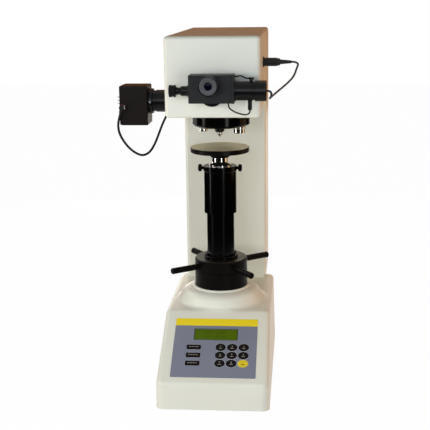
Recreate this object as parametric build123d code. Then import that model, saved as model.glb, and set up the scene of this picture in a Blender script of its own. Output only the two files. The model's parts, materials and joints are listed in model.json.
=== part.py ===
from build123d import *
import math
import os

# Bench hardness tester: a cast base with a keypad, a column and head in one cover, an
# elevating screw with its table, an indenter turret, a measuring eyepiece and a side camera.
# While the pieces are made, the elevating screw's axis is at X 0, Y 0, the floor is at Z 0,
# and the front of the tester looks along -Y. All sizes are in millimetres.

os.makedirs("parts", exist_ok=True)

# ---- fits -------------------------------------------------------------------------------
RUNNING_FIT = 0.05       # radial, a shaft that turns or slides in its bore
SLIDE_GAP = 0.4          # between pieces that pass each other
SEAT_GAP = 0.3           # around a piece that is let into another
EDGE_BREAK = 0.4         # on the edges of turned steel
CUT_REACH = 10.0         # how far a cut runs on past the face that it opens
BEND_SHARE = 0.45        # of the shorter run beside it, which a cord's bend takes up

# ---- feet and base ----------------------------------------------------------------------
FOOT_HEIGHT = 15.0
FOOT_RADIUS = 17.0
FOOT_CHAMFER = 2.5
FOOT_TAPER = 1.5
FOOT_FRONT_INSET = 24.0  # from the wide part's side
FOOT_FRONT_Y = -164.0
FOOT_REAR_INSET = 22.0   # from the narrower rear part's side
FOOT_REAR_Y = 236.0

BASE_WIDTH = 200.0
BASE_FRONT_Y = -223.0
BASE_REAR_Y = 168.0      # the wide part ends here, under the column's front
BASE_DRAFT = 1.5         # degrees, on every side
BASE_CORNER = 14.0
BASE_WALL = 7.0
FASCIA_TOP_Z = 62.0
SHELF_FRONT_Y = -82.0
SHELF_Z = 150.0
SHELF_EDGE_ROUND = 14.0
BASE_EDGE_ROUND = 8.5     # one run of edges: fascia, slope, shelf and rear
BLOCK_HALF_WIDTH = 72.0  # the narrower rear part, under the column
BLOCK_REAR_Y = 262.0
BASE_PLATE_THICKNESS = 4.0
PLATE_REBATE = 3.0

BOSS_TOP_Z = 168.0
BOSS_TOP_RADIUS = 62.0
BOSS_FOOT_RADIUS = 84.0
BOSS_SEAT_Z = 178.0
BOSS_SEAT_RADIUS = 52.5
BOSS_FLOW = 0.12         # rise for each millimetre in, where its flank starts and ends

# ---- column and head --------------------------------------------------------------------
HEAD_WIDTH = 163.2
HEAD_FRONT_Y = -145.0
HEAD_BOTTOM_Z = 516.0
HEAD_TOP_Z = 654.0
COLUMN_FRONT_Y = 135.0
COLUMN_REAR_Y = 277.0
PLINTH_HEIGHT = 4.0
PLINTH_INSET = 2.5
COVER_WALL = 5.0
HEAD_ROUND = 6.5
INNER_ROUND = 10.0
REAR_COVER_THICKNESS = 2.0
REAR_COVER_MARGIN = 9.0
SCREW_HEAD_RADIUS = 3.6
SCREW_HEAD_HEIGHT = 2.2
SCREW_HEAD_TAPER = 1.2

# ---- elevating screw, handwheel and table -----------------------------------------------
SCREW_RADIUS = 15.0
SCREW_BOTTOM_Z = 140.0
LIFT_UP = 16.0
KEYWAY_END = 20.0        # the keyway stops this far under the cap
COLLAR_CHAMFER = 0.8
NECK_FLARE = 1.6
NECK_LOW = 2.2
NECK_HIGH = 4.6
TABLE_CHAMFER = 0.6
CAP_CHAMFER = 1.2
THUMB_RIB_DEPTH = 0.6
CAGE_INSET = 0.6
HUB_CHAMFER = 2.0
SPOKE_CHAMFER = 1.5
TUBE_FOOT_HEIGHT = 5.0
FLANGE_SCREW_HEIGHT = 3.0
FLANGE_SOCKET_RADIUS = 1.2
KEY_WIDTH = 6.0
KEY_DEPTH = 3.5
HUB_RADIUS = 50.0
HUB_BOTTOM_Z = 209.0
HUB_TOP_Z = 232.0
NUT_WALL = 6.0
NUT_HEIGHT = 40.0
SPOKE_RADIUS = 5.8
SPOKE_REACH = 108.0
SPOKE_Z = 219.0
SPOKE_START = 36.0       # degrees, the first of four
SPOKE_COUNT = 4
LOWER_TUBE_RADIUS = 26.0
LOWER_TUBE_WALL = 2.5
LOWER_FLANGE_RIM = 6.4
LOWER_FLANGE_HEIGHT = 5.0
TUBE_GAP = 1.6           # between the two dust tubes
UPPER_TUBE_WALL = 3.0
UPPER_TUBE_BOTTOM_Z = 320.0
UPPER_TUBE_TOP_Z = 409.0
TUBE_OVERLAP = 3.0       # left when the screw is all the way up
PLUG_RADIUS = 18.5       # the stem's foot in the upper tube's cap
COLLAR_RADIUS = 22.0
COLLAR_HEIGHT = 3.0
STEM_RADIUS = 14.8
STEM_TOP_Z = 429.0
CAP_HEIGHT = 9.0
TABLE_RADIUS = 55.2
TABLE_TOP_Z = 444.6
TABLE_EDGE = 9.5
TABLE_BOSS_RADIUS = 18.5
THUMB_SHANK_RADIUS = 3.0
THUMB_HEAD_RADIUS = 6.9
THUMB_HEAD_LENGTH = 7.0
THUMB_NECK = 3.6
THUMB_Z = 404.2

# ---- turret -----------------------------------------------------------------------------
STATION_RADIUS = 34.5    # from the turret's axis to each of its three stations
TURRET_RIM = 20.5        # from the stations to the turret's side
TURRET_FACE_RIM = 13.0   # from the stations to the end of its flat face
TURRET_BOTTOM_Z = 479.0
TURRET_EDGE_Z = 484.0
TURRET_TOP_Z = 508.0
TURRET_AXLE_RADIUS = 8.0
MOUNT_RING_INSET = 8.0
INDENTER_TIP_Z = 462.0
INDENTER_RADIUS = 5.0
HOLDER_RADIUS = 8.9
HOLDER_BOTTOM_Z = 472.2
SHORT_LENS_TIP_Z = 468.5
SHORT_LENS_RADIUS = 10.0
LONG_LENS_TIP_Z = 464.6
LONG_LENS_RADIUS = 11.6

# ---- measuring eyepiece -----------------------------------------------------------------
MEASURE_Z = 557.3        # the axis that the measuring head turns on
FLANGE_RADIUS = 21.0
FLANGE_DEPTH = 9.0
JOURNAL_RADIUS = 16.0
BLOCK_Z = 569.0
BLOCK_WIDTH = 71.0
BLOCK_HEIGHT = 46.5
BLOCK_FRONT_Y = -190.0
BLOCK_REAR_FACE_Y = -155.0
MICROMETER_Y = -172.0
MICROMETER_Z = 565.0
SIDE_PLATE = 4.5
LIP_PROUD = 0.6
BARREL_RADIUS = 16.0
BARREL_LENGTH = 34.0
END_CAP_PROUD = 1.3
END_CAP_LENGTH = 19.5
SLEEVE_LENGTH = 22.0
KNOB_RADIUS = 10.2
KNOB_LENGTH = 12.0
KNOB_RIBS = 24
EYEPIECE_Z = 576.2
EYEPIECE_RADIUS = 12.5
EYEPIECE_STEP_Y = -205.0
DIOPTRE_RADIUS = 17.0
DIOPTRE_FRONT_Y = -217.0
EYE_LENS_RADIUS = 7.5

# ---- side camera ------------------------------------------------------------------------
CAMERA_Z = 530.0
PORT_FLANGE_RADIUS = 24.0
PORT_FLANGE_DEPTH = 4.0
ADAPTER_RADIUS = 20.4
ADAPTER_LENGTH = 40.4
CAMERA_RING_RADIUS = 23.2
CAMERA_RING_LENGTH = 8.0
CAMERA_LENGTH = 51.8
CAMERA_HALF_DEPTH = 28.0
CAMERA_BOTTOM_Z = 487.6
CAMERA_TOP_Z = 560.0

# ---- keypad -----------------------------------------------------------------------------
# Distances on the sloping panel are measured down it from the shelf's sharp edge.
OVERLAY_WIDTH = 150.0
OVERLAY_TOP = 20.0
OVERLAY_LENGTH = 130.5
OVERLAY_THICKNESS = 1.2
OVERLAY_SINK = 0.8
DISPLAY_CENTRE = 56.0
DISPLAY_WIDTH = 78.0
DISPLAY_HEIGHT = 24.0
KEY_PROUD = 1.2
KEY_GAP = 0.4
KEY_RIM = 0.9
KEY_RIM_GAP = 0.1        # from the rim under a key to the film
KEY_CHAMFER = 0.5
MODE_KEY_CORNER = 1.2
OVERLAY_CORNER = 2.0
ROUND_KEY_WIDTH = 18.0
ROUND_KEY_HEIGHT = 15.4
ROUND_KEY_X = 10.3
ROUND_KEY_SPACE_X = 2.8
ROUND_KEY_DOWN = 84.7
ROUND_KEY_SPACE = 2.2
MODE_KEY_WIDTH = 25.4
MODE_KEY_HEIGHT = 9.6
MODE_KEY_X = -38.0
MODE_KEY_DOWN = 85.2
MODE_KEY_SPACE = 8.1

# ---- leads ------------------------------------------------------------------------------
CAMERA_CABLE = 4.4
ENCODER_LEAD = 3.6
LINK_WIRE = 2.6
SIDE_SOCKET_Y = -25.0
SIDE_SOCKET_Z = 602.2
SIDE_PLUG_LENGTH = 31.0
SIDE_PLUG_RADIUS = 7.6
SIDE_SLEEVE_LENGTH = 20.0
CAMERA_SOCKET_Y = 96.0
CAMERA_SOCKET_Z = 552.0

# ---- smaller sizes that several pieces share --------------------------------------------
SCREW_SHANK_RADIUS = 2.0
BEARING_TOP_Z = 208.5
BEARING_FLOOR_Z = 184.0
SPOKE_SEAT = 30.0
FLANGE_SCREWS = 6
FLANGE_SCREW_OFFSET = 3.7
FLANGE_SCREW_RADIUS = 2.4
TUBE_FOOT = 1.0
SPIGOT_RADIUS = 9.0
SPIGOT_LENGTH = 10.0
THUMB_RIBS = 16
MOUNT_SPIGOT_RADIUS = 30.0
MOUNT_BOTTOM_Z = 508.4
MOUNT_SPIGOT_TOP_Z = 536.0
LENS_SEAT = 7.0
HOLDER_SEAT = 9.0
LENS_SINK = 8.0
STUB_PLACE = 28.0        # along the barrel, from the side plate
STUB_HEIGHT = 6.5
POST_PLACE = 25.6
POST_LENGTH = 15.5
KNOB_SHAFT_RADIUS = 3.0
NOSE_RADIUS = 11.0
CAMERA_BACK = 3.0
CAMERA_STEP = 0.8
PIN_Y = -22.0
PIN_RADIUS = 0.9
PIN_LENGTH = 4.0
PIN_LEVELS = (527.5, 533.5, 539.5)
BOARD_SIDE_INSET = 7.0
BOARD_TOP_INSET = 18.0
BOARD_BOTTOM_INSET = 14.5
BOARD_DEPTH = 5.4
BOARD_THICKNESS = 1.6
KEY_BOTTOM = -2.9
DISPLAY_RISE = 0.6
MODULE_X = -26.0
MODULE_Z = 192.0
MODULE_WIDTH = 60.0
MODULE_HEIGHT = 28.0
MODULE_DEPTH = 24.0
MODULE_FLANGE = 2.2
INLET_OFFSET = -12.5
INLET_WIDTH = 26.0
INLET_HEIGHT = 18.0
INLET_DEPTH = 17.0
SWITCH_OFFSET = 17.5
SWITCH_WIDTH = 16.0
SWITCH_HEIGHT = 23.0
SWITCH_DEPTH = 13.0
SWITCH_PIVOT_DEPTH = 2.4
SWITCH_PIN_RADIUS = 1.2
ROCKER_MARGIN = 1.2
ROCKER_DEPTH = 6.0
ROCKER_HORN = 3.6        # its two ends stand this far out of the rear cover
ROCKER_DIP = 1.8         # and its middle this far
ROCKER_TAPER = 2.0
MODULE_RIM = 5.0
INLET_CORNER = 4.0
INLET_PINS = ((-7, -2), (0, 3), (7, -2))
INLET_PIN_WIDTH = 2.0
INLET_PIN_LENGTH = 12.0
INLET_PIN_HEIGHT = 5.0
SWITCH_PIN_REACH = 1.0
SWITCH_SWING = 14.0      # degrees, from one side to the other

# ---- sizes and places that follow from those above ---------------------------------------
HALF_HEAD = HEAD_WIDTH / 2
NUT_RADIUS = SCREW_RADIUS + NUT_WALL
UPPER_TUBE_RADIUS = LOWER_TUBE_RADIUS + TUBE_GAP + UPPER_TUBE_WALL
LOWER_FLANGE_RADIUS = LOWER_TUBE_RADIUS + LOWER_FLANGE_RIM
FLANGE_SCREW_CIRCLE = LOWER_TUBE_RADIUS + FLANGE_SCREW_OFFSET
TURRET_RADIUS = STATION_RADIUS + TURRET_RIM
TURRET_FACE_RADIUS = STATION_RADIUS + TURRET_FACE_RIM
MOUNT_RING_RADIUS = TURRET_RADIUS - MOUNT_RING_INSET
KNOB_INNER_X = -BLOCK_WIDTH / 2 - SLEEVE_LENGTH
KNOB_OUTER_X = KNOB_INNER_X - KNOB_LENGTH
BARREL_START_X = BLOCK_WIDTH / 2 + SIDE_PLATE
BARREL_END_X = BARREL_START_X + BARREL_LENGTH
END_CAP_RADIUS = BARREL_RADIUS + END_CAP_PROUD
STUB_X = BARREL_START_X + STUB_PLACE
STUB_TOP_Z = MICROMETER_Z + BARREL_RADIUS + STUB_HEIGHT
POST_X = BARREL_START_X + POST_PLACE
POST_BOTTOM_Z = MICROMETER_Z - BARREL_RADIUS - POST_LENGTH
CAMERA_RING_X = -HALF_HEAD - ADAPTER_LENGTH
CAMERA_FACE_X = CAMERA_RING_X - CAMERA_RING_LENGTH
SET_SCREW_X = (CAMERA_RING_X + CAMERA_FACE_X) / 2
ROUND_KEY_PITCH_X = ROUND_KEY_WIDTH + ROUND_KEY_SPACE_X
ROUND_KEY_PITCH = ROUND_KEY_HEIGHT + ROUND_KEY_SPACE
MODE_KEY_PITCH = MODE_KEY_HEIGHT + MODE_KEY_SPACE
BOARD_WIDTH = OVERLAY_WIDTH - 2 * BOARD_SIDE_INSET
BOARD_TOP = OVERLAY_TOP + BOARD_TOP_INSET
BOARD_LENGTH = OVERLAY_LENGTH - BOARD_TOP_INSET - BOARD_BOTTOM_INSET
INLET_X = MODULE_X + INLET_OFFSET
SWITCH_X = MODULE_X + SWITCH_OFFSET

ON_BASE = (Align.CENTER, Align.CENTER, Align.MIN)


# ---- small makers -----------------------------------------------------------------------
def rod(start, end, radius):
    """A cylinder from one point to another."""
    way = Vector(*end) - Vector(*start)
    return Plane(origin=start, z_dir=way) * Cylinder(radius, way.length, align=ON_BASE)


def pipe(start, end, outer, bore):
    """A straight tube from one point to another."""
    return rod(start, end, outer) - rod(start, end, bore)


def block(x_limits, y_limits, z_limits):
    """A box between three pairs of limits."""
    sides = [high - low for low, high in (x_limits, y_limits, z_limits)]
    corner = (x_limits[0], y_limits[0], z_limits[0])
    return Pos(*corner) * Box(*sides, align=(Align.MIN, Align.MIN, Align.MIN))


def turned(profile, origin=(0, 0, 0), direction=(0, 0, 1)):
    """A turned piece: (radius, height) points, closed, about an axis through origin."""
    outline = make_face(Polyline(*[(radius, 0, height) for radius, height in profile], close=True))
    return Plane(origin=origin, z_dir=direction) * revolve(outline, Axis.Z)


def ribbed(radius, length, ribs, depth):
    """A knurled grip as a star-sided prism along +Z."""
    points = []
    for number in range(2 * ribs):
        angle = math.pi * number / ribs
        reach = radius - depth * (number % 2)
        points.append((reach * math.cos(angle), reach * math.sin(angle)))
    return extrude(make_face(Polyline(*points, close=True)), length)


def cord(points, diameter):
    """A plain round cord: straight runs joined by arcs as large as the runs allow."""
    corners = [Vector(*point) for point in points]
    steps = [after - before for before, after in zip(corners, corners[1:])]
    radii = []
    for before, after in zip(steps, steps[1:]):
        half_turn = math.radians(before.get_angle(after)) / 2
        radii.append(BEND_SHARE * min(before.length, after.length) / math.tan(half_turn))
    path = FilletPolyline(*corners, radius=radii)
    section = Plane(origin=corners[0], z_dir=steps[0]) * Circle(diameter / 2)
    solid = sweep(section, path=path)
    expected = math.pi * diameter**2 / 4 * path.length
    print("cord", round(path.length, 1), "mm, radii", [round(radius, 1) for radius in radii],
          "volume ratio", round(solid.volume / expected, 4))
    return solid


# ---- base -------------------------------------------------------------------------------
def slope_angle():
    """The sloping panel's angle above the horizontal, in degrees."""
    return math.degrees(math.atan2(SHELF_Z - FASCIA_TOP_Z, SHELF_FRONT_Y - BASE_FRONT_Y))


def base_form(inset):
    """The base's outer form, or its inner form when inset is a wall's thickness."""
    depth = BASE_REAR_Y - BASE_FRONT_Y - 2 * inset
    width = BASE_WIDTH - 2 * inset
    middle = (BASE_REAR_Y + BASE_FRONT_Y) / 2
    height = SHELF_Z - FOOT_HEIGHT - inset
    corner = max(BASE_CORNER - inset, 2.0)
    plan = Pos(0, middle, FOOT_HEIGHT) * RectangleRounded(width, depth, corner)
    tapered = extrude(plan, height, taper=BASE_DRAFT)
    slope = math.radians(slope_angle())
    drop = inset / math.cos(slope)
    side = make_face(Polyline(
        (0, BASE_FRONT_Y - 1, FOOT_HEIGHT),
        (0, BASE_FRONT_Y - 1, FASCIA_TOP_Z - drop - math.tan(slope)),
        (0, SHELF_FRONT_Y + (drop - inset) / math.tan(slope), SHELF_Z - inset),
        (0, BASE_REAR_Y + 1, SHELF_Z - inset),
        (0, BASE_REAR_Y + 1, FOOT_HEIGHT),
        close=True,
    ))
    wedge = extrude(side, BASE_WIDTH / 2, both=True)
    rear = block(
        (inset - BLOCK_HALF_WIDTH, BLOCK_HALF_WIDTH - inset),
        (COLUMN_FRONT_Y, BLOCK_REAR_Y - inset),
        (FOOT_HEIGHT, SHELF_Z - inset),
    )
    return tapered & wedge, rear


def panel_plane():
    """The sloping panel: X across it, Y up it from the shelf's sharp edge, Z out of it."""
    return Plane(origin=(0, SHELF_FRONT_Y, SHELF_Z), x_dir=(1, 0, 0)).rotated((slope_angle(), 0, 0))


def make_base_housing():
    """The cast base: shelf, boss and sloping panel over a hollow that the plate closes."""
    form, rear = base_form(0)
    form = fillet(cross_edge(form, SHELF_FRONT_Y, SHELF_Z), SHELF_EDGE_ROUND)
    form = fillet(cross_edge(form, BASE_FRONT_Y, FASCIA_TOP_Z), BASE_EDGE_ROUND)
    rear = fillet(rear.edges().filter_by(Axis.Z).group_by(Axis.Y)[-1], BASE_CORNER)
    boss = make_boss()
    inner, inner_rear = base_form(BASE_WALL)
    plinth = block(
        (PLINTH_INSET - HALF_HEAD, HALF_HEAD - PLINTH_INSET),
        (COLUMN_FRONT_Y, BLOCK_REAR_Y),
        (SHELF_Z, SHELF_Z + PLINTH_HEIGHT),
    )
    housing = form + rear + boss + plinth - inner - inner_rear
    housing -= plate_outline(PLATE_REBATE, FOOT_HEIGHT, BASE_PLATE_THICKNESS)
    housing -= rod((0, 0, FOOT_HEIGHT), (0, 0, BOSS_SEAT_Z), SCREW_RADIUS + SLIDE_GAP)
    panel = panel_plane()
    recess = Pos(0, -OVERLAY_TOP - OVERLAY_LENGTH / 2, -OVERLAY_SINK) * Box(
        OVERLAY_WIDTH + 2 * SEAT_GAP, OVERLAY_LENGTH + 2 * SEAT_GAP, CUT_REACH, align=ON_BASE)
    board = Pos(0, -BOARD_TOP - BOARD_LENGTH / 2, -BOARD_DEPTH) * Box(
        BOARD_WIDTH + 2 * SEAT_GAP, BOARD_LENGTH + 2 * SEAT_GAP, CUT_REACH, align=ON_BASE)
    return housing - panel * recess - panel * board


def make_boss():
    """The round mound under the handwheel, which flows out of the shelf in a soft S."""
    floor = SHELF_Z - BASE_WALL
    flow = Spline(
        (BOSS_FOOT_RADIUS, 0, SHELF_Z),
        ((BOSS_FOOT_RADIUS + BOSS_TOP_RADIUS) / 2, 0, (SHELF_Z + BOSS_TOP_Z) / 2),
        (BOSS_TOP_RADIUS, 0, BOSS_TOP_Z),
        tangents=((-1, 0, BOSS_FLOW), (-1, 0, BOSS_FLOW)),
    )
    rest = Polyline(
        (BOSS_TOP_RADIUS, 0, BOSS_TOP_Z), (BOSS_SEAT_RADIUS, 0, BOSS_TOP_Z),
        (BOSS_SEAT_RADIUS, 0, BOSS_SEAT_Z), (0, 0, BOSS_SEAT_Z), (0, 0, floor),
        (BOSS_FOOT_RADIUS, 0, floor), (BOSS_FOOT_RADIUS, 0, SHELF_Z),
    )
    return revolve(make_face(flow + rest), Axis.Z)


def cross_edge(solid, y, z):
    """The long edge across the tester that lies nearest to a place in its side view."""
    across = [edge for edge in solid.edges() if abs(edge.center().X) < 1 and edge.length > 100]
    return min(across, key=lambda edge: math.hypot(edge.center().Y - y, edge.center().Z - z))


def plate_outline(inset, level, height):
    """The base plate's outline, in from the base's own by an inset, as a slab."""
    middle = (BASE_REAR_Y + BASE_FRONT_Y) / 2
    depth = BASE_REAR_Y - BASE_FRONT_Y - 2 * inset
    wide = RectangleRounded(BASE_WIDTH - 2 * inset, depth, BASE_CORNER - inset)
    slab = extrude(Pos(0, middle, level) * wide, height)
    return slab + block(
        (inset - BLOCK_HALF_WIDTH, BLOCK_HALF_WIDTH - inset),
        (COLUMN_FRONT_Y, BLOCK_REAR_Y - inset),
        (level, level + height),
    )


def make_feet():
    """Four rubber feet under the plate, as one node."""
    front_x = BASE_WIDTH / 2 - FOOT_FRONT_INSET
    rear_x = BLOCK_HALF_WIDTH - FOOT_REAR_INSET
    places = [(side * x, y) for x, y in ((front_x, FOOT_FRONT_Y), (rear_x, FOOT_REAR_Y))
              for side in (-1, 1)]
    foot = turned([
        (0, 0), (FOOT_RADIUS - FOOT_CHAMFER, 0), (FOOT_RADIUS, FOOT_CHAMFER),
        (FOOT_RADIUS - FOOT_TAPER, FOOT_HEIGHT), (0, FOOT_HEIGHT),
    ])
    return [Pos(x, y, 0) * foot for x, y in places]


# ---- column and head --------------------------------------------------------------------
def make_column_cover():
    """The one-piece cover of column and head, a shell that is open at the rear window."""
    bottom = SHELF_Z + PLINTH_HEIGHT
    side = make_face(Polyline(
        (0, COLUMN_FRONT_Y, bottom), (0, COLUMN_FRONT_Y, HEAD_BOTTOM_Z),
        (0, HEAD_FRONT_Y, HEAD_BOTTOM_Z), (0, HEAD_FRONT_Y, HEAD_TOP_Z),
        (0, COLUMN_REAR_Y, HEAD_TOP_Z), (0, COLUMN_REAR_Y, bottom), close=True,
    ))
    form = extrude(side, HALF_HEAD, both=True)
    notch = cross_edge(form, COLUMN_FRONT_Y, HEAD_BOTTOM_Z)
    form = fillet(notch, INNER_ROUND)
    outer = [edge for edge in form.edges()
             if edge.center().Z > bottom + 1 and edge.center().Y < COLUMN_REAR_Y - 1]
    form = fillet(outer, HEAD_ROUND)
    wall = COVER_WALL
    inside = make_face(Polyline(
        (0, COLUMN_FRONT_Y + wall, bottom), (0, COLUMN_FRONT_Y + wall, HEAD_BOTTOM_Z + wall),
        (0, HEAD_FRONT_Y + wall, HEAD_BOTTOM_Z + wall), (0, HEAD_FRONT_Y + wall, HEAD_TOP_Z - wall),
        (0, COLUMN_REAR_Y - wall, HEAD_TOP_Z - wall), (0, COLUMN_REAR_Y - wall, bottom), close=True,
    ))
    form -= extrude(inside, HALF_HEAD - wall, both=True)
    margin = wall + REAR_COVER_MARGIN
    form -= block(
        (margin - HALF_HEAD, HALF_HEAD - margin),
        (COLUMN_REAR_Y - wall, COLUMN_REAR_Y),
        (bottom + margin, HEAD_TOP_Z - margin),
    )
    return form - rod((0, STATION_RADIUS, HEAD_BOTTOM_Z), (0, STATION_RADIUS, HEAD_BOTTOM_Z + wall),
                      MOUNT_SPIGOT_RADIUS + SEAT_GAP)


def make_rear_cover():
    """The sheet that closes the column's rear window, and its screws."""
    bottom = SHELF_Z + PLINTH_HEIGHT + COVER_WALL
    half = HALF_HEAD - COVER_WALL
    top = HEAD_TOP_Z - COVER_WALL
    rear = COLUMN_REAR_Y + REAR_COVER_THICKNESS
    sheet = block((-half, half), (COLUMN_REAR_Y, rear), (bottom, top))
    sheet = fillet(sheet.edges().filter_by(Axis.Y), 4)
    sheet -= Pos(MODULE_X, COLUMN_REAR_Y, MODULE_Z) * Box(
        MODULE_WIDTH, 4 * REAR_COVER_THICKNESS, MODULE_HEIGHT)
    edge = REAR_COVER_MARGIN / 2
    heights = [bottom + edge + step * (top - bottom - 2 * edge) / 3 for step in range(4)]
    screws = []
    for x in (edge - half, half - edge):
        for z in heights:
            sheet -= rod((x, COLUMN_REAR_Y, z), (x, rear, z), SCREW_SHANK_RADIUS + SLIDE_GAP)
            head = turned(
                [(0, 0), (SCREW_HEAD_RADIUS, 0),
                 (SCREW_HEAD_RADIUS - SCREW_HEAD_TAPER, SCREW_HEAD_HEIGHT), (0, SCREW_HEAD_HEIGHT)],
                origin=(x, rear, z), direction=(0, 1, 0))
            screws.append(head + rod((x, COLUMN_REAR_Y, z), (x, rear, z), SCREW_SHANK_RADIUS))
    return sheet, screws


def make_power_module():
    """The mains inlet and the frame of its rocker switch, in one moulding."""
    rear = COLUMN_REAR_Y + REAR_COVER_THICKNESS
    depth = MODULE_DEPTH
    body = Pos(MODULE_X, rear - depth / 2, MODULE_Z) * Box(
        MODULE_WIDTH - 2 * SEAT_GAP, depth, MODULE_HEIGHT - 2 * SEAT_GAP)
    body += Pos(MODULE_X, rear + MODULE_FLANGE / 2, MODULE_Z) * Box(
        MODULE_WIDTH + MODULE_RIM, MODULE_FLANGE, MODULE_HEIGHT + MODULE_RIM)
    front = rear + MODULE_FLANGE
    recess = Pos(INLET_X, front - INLET_DEPTH / 2, MODULE_Z) * Box(
        INLET_WIDTH, INLET_DEPTH, INLET_HEIGHT)
    body -= chamfer(recess.edges().filter_by(Axis.Y).group_by(Axis.Z)[-1], INLET_CORNER)
    for dx, dz in INLET_PINS:
        pin_y = front - INLET_DEPTH + INLET_PIN_LENGTH / 2
        body += Pos(INLET_X + dx, pin_y, MODULE_Z + dz) * Box(
            INLET_PIN_WIDTH, INLET_PIN_LENGTH, INLET_PIN_HEIGHT)
    body -= Pos(SWITCH_X, front - SWITCH_DEPTH / 2, MODULE_Z) * Box(
        SWITCH_WIDTH, SWITCH_DEPTH, SWITCH_HEIGHT)
    pin = SWITCH_WIDTH / 2 + SWITCH_PIN_REACH + RUNNING_FIT
    y = rear - SWITCH_PIVOT_DEPTH
    body -= rod((SWITCH_X - pin, y, MODULE_Z), (SWITCH_X + pin, y, MODULE_Z),
                SWITCH_PIN_RADIUS + RUNNING_FIT)
    return body


def make_power_switch():
    """The rocker, with its two sloping halves, tipped to its rest on two pivot pins."""
    width = SWITCH_WIDTH - 2 * SLIDE_GAP
    half = SWITCH_HEIGHT / 2 - ROCKER_MARGIN
    rear = COLUMN_REAR_Y + REAR_COVER_THICKNESS
    outline = make_face(Polyline(
        (0, rear - ROCKER_DEPTH, MODULE_Z - half + ROCKER_TAPER),
        (0, rear + ROCKER_HORN, MODULE_Z - half), (0, rear + ROCKER_DIP, MODULE_Z),
        (0, rear + ROCKER_HORN, MODULE_Z + half),
        (0, rear - ROCKER_DEPTH, MODULE_Z + half - ROCKER_TAPER), close=True,
    ))
    key = Pos(SWITCH_X, 0, 0) * extrude(outline, width / 2, both=True)
    y = rear - SWITCH_PIVOT_DEPTH
    pin = SWITCH_WIDTH / 2 + SWITCH_PIN_REACH
    key += rod((SWITCH_X - pin, y, MODULE_Z), (SWITCH_X + pin, y, MODULE_Z), SWITCH_PIN_RADIUS)
    return key.rotate(Axis((SWITCH_X, y, MODULE_Z), (1, 0, 0)), -SWITCH_SWING / 2)


# ---- keypad -----------------------------------------------------------------------------
def key_places():
    """Every key's name, centre on the panel and outline: nine round keys and three bars."""
    places = []
    for row in range(3):
        for column in range(3):
            centre = (ROUND_KEY_X + column * ROUND_KEY_PITCH_X,
                      -ROUND_KEY_DOWN - row * ROUND_KEY_PITCH)
            places.append((f"key_row{row + 1}_{column + 1}", centre, "round"))
    for row, name in enumerate(("upper", "middle", "lower")):
        centre = (MODE_KEY_X, -MODE_KEY_DOWN - row * MODE_KEY_PITCH)
        places.append((f"mode_key_{name}", centre, "bar"))
    return places


def key_outline(kind, margin=0.0):
    """A key's outline on the panel, grown by a margin."""
    if kind == "round":
        return Ellipse(ROUND_KEY_WIDTH / 2 + margin, ROUND_KEY_HEIGHT / 2 + margin)
    return RectangleRounded(
        MODE_KEY_WIDTH + 2 * margin, MODE_KEY_HEIGHT + 2 * margin, MODE_KEY_CORNER + margin)


def make_keypad():
    """The overlay, the display, the circuit board and the keys."""
    panel = panel_plane()
    sheet = Pos(0, -OVERLAY_TOP - OVERLAY_LENGTH / 2, -OVERLAY_SINK) * extrude(
        RectangleRounded(OVERLAY_WIDTH, OVERLAY_LENGTH, OVERLAY_CORNER), OVERLAY_THICKNESS)
    window = Pos(0, -DISPLAY_CENTRE, -BOARD_DEPTH) * Box(
        DISPLAY_WIDTH, DISPLAY_HEIGHT, CUT_REACH, align=ON_BASE)
    sheet -= window
    keys = {}
    for name, centre, kind in key_places():
        sheet -= Pos(*centre, -BOARD_DEPTH) * extrude(key_outline(kind, KEY_GAP), CUT_REACH)
        top = OVERLAY_THICKNESS - OVERLAY_SINK + KEY_PROUD
        key = Pos(*centre, KEY_BOTTOM) * extrude(key_outline(kind), top - KEY_BOTTOM)
        key = chamfer(key.edges().group_by(Axis.Z)[-1], KEY_CHAMFER)
        rim = -OVERLAY_SINK - KEY_RIM_GAP - KEY_BOTTOM
        key += Pos(*centre, KEY_BOTTOM) * extrude(key_outline(kind, KEY_RIM), rim)
        keys[name] = panel * key
    board = Pos(0, -BOARD_TOP - BOARD_LENGTH / 2, -BOARD_DEPTH) * Box(
        BOARD_WIDTH, BOARD_LENGTH, BOARD_THICKNESS, align=ON_BASE)
    glass = Pos(0, -DISPLAY_CENTRE, BOARD_THICKNESS - BOARD_DEPTH) * Box(
        DISPLAY_WIDTH - 2 * SEAT_GAP, DISPLAY_HEIGHT - 2 * SEAT_GAP,
        BOARD_DEPTH - BOARD_THICKNESS - OVERLAY_SINK + DISPLAY_RISE, align=ON_BASE)
    return panel * sheet, panel * glass, panel * board, keys


# ---- elevating screw --------------------------------------------------------------------
def make_bearing_housing():
    """The fixed seat of the handwheel, with the key that stops the screw from turning."""
    seat = turned([
        (SCREW_RADIUS + SLIDE_GAP, BOSS_SEAT_Z), (HUB_RADIUS, BOSS_SEAT_Z),
        (HUB_RADIUS, BEARING_TOP_Z - EDGE_BREAK), (HUB_RADIUS - EDGE_BREAK, BEARING_TOP_Z),
        (NUT_RADIUS + SLIDE_GAP, BEARING_TOP_Z), (NUT_RADIUS + SLIDE_GAP, BEARING_FLOOR_Z),
        (SCREW_RADIUS + SLIDE_GAP, BEARING_FLOOR_Z),
    ])
    key = block(
        (-KEY_WIDTH / 2, KEY_WIDTH / 2),
        (SCREW_RADIUS - KEY_DEPTH + SLIDE_GAP, SCREW_RADIUS + 2),
        (BOSS_SEAT_Z, BEARING_FLOOR_Z),
    )
    return seat + key


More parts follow.
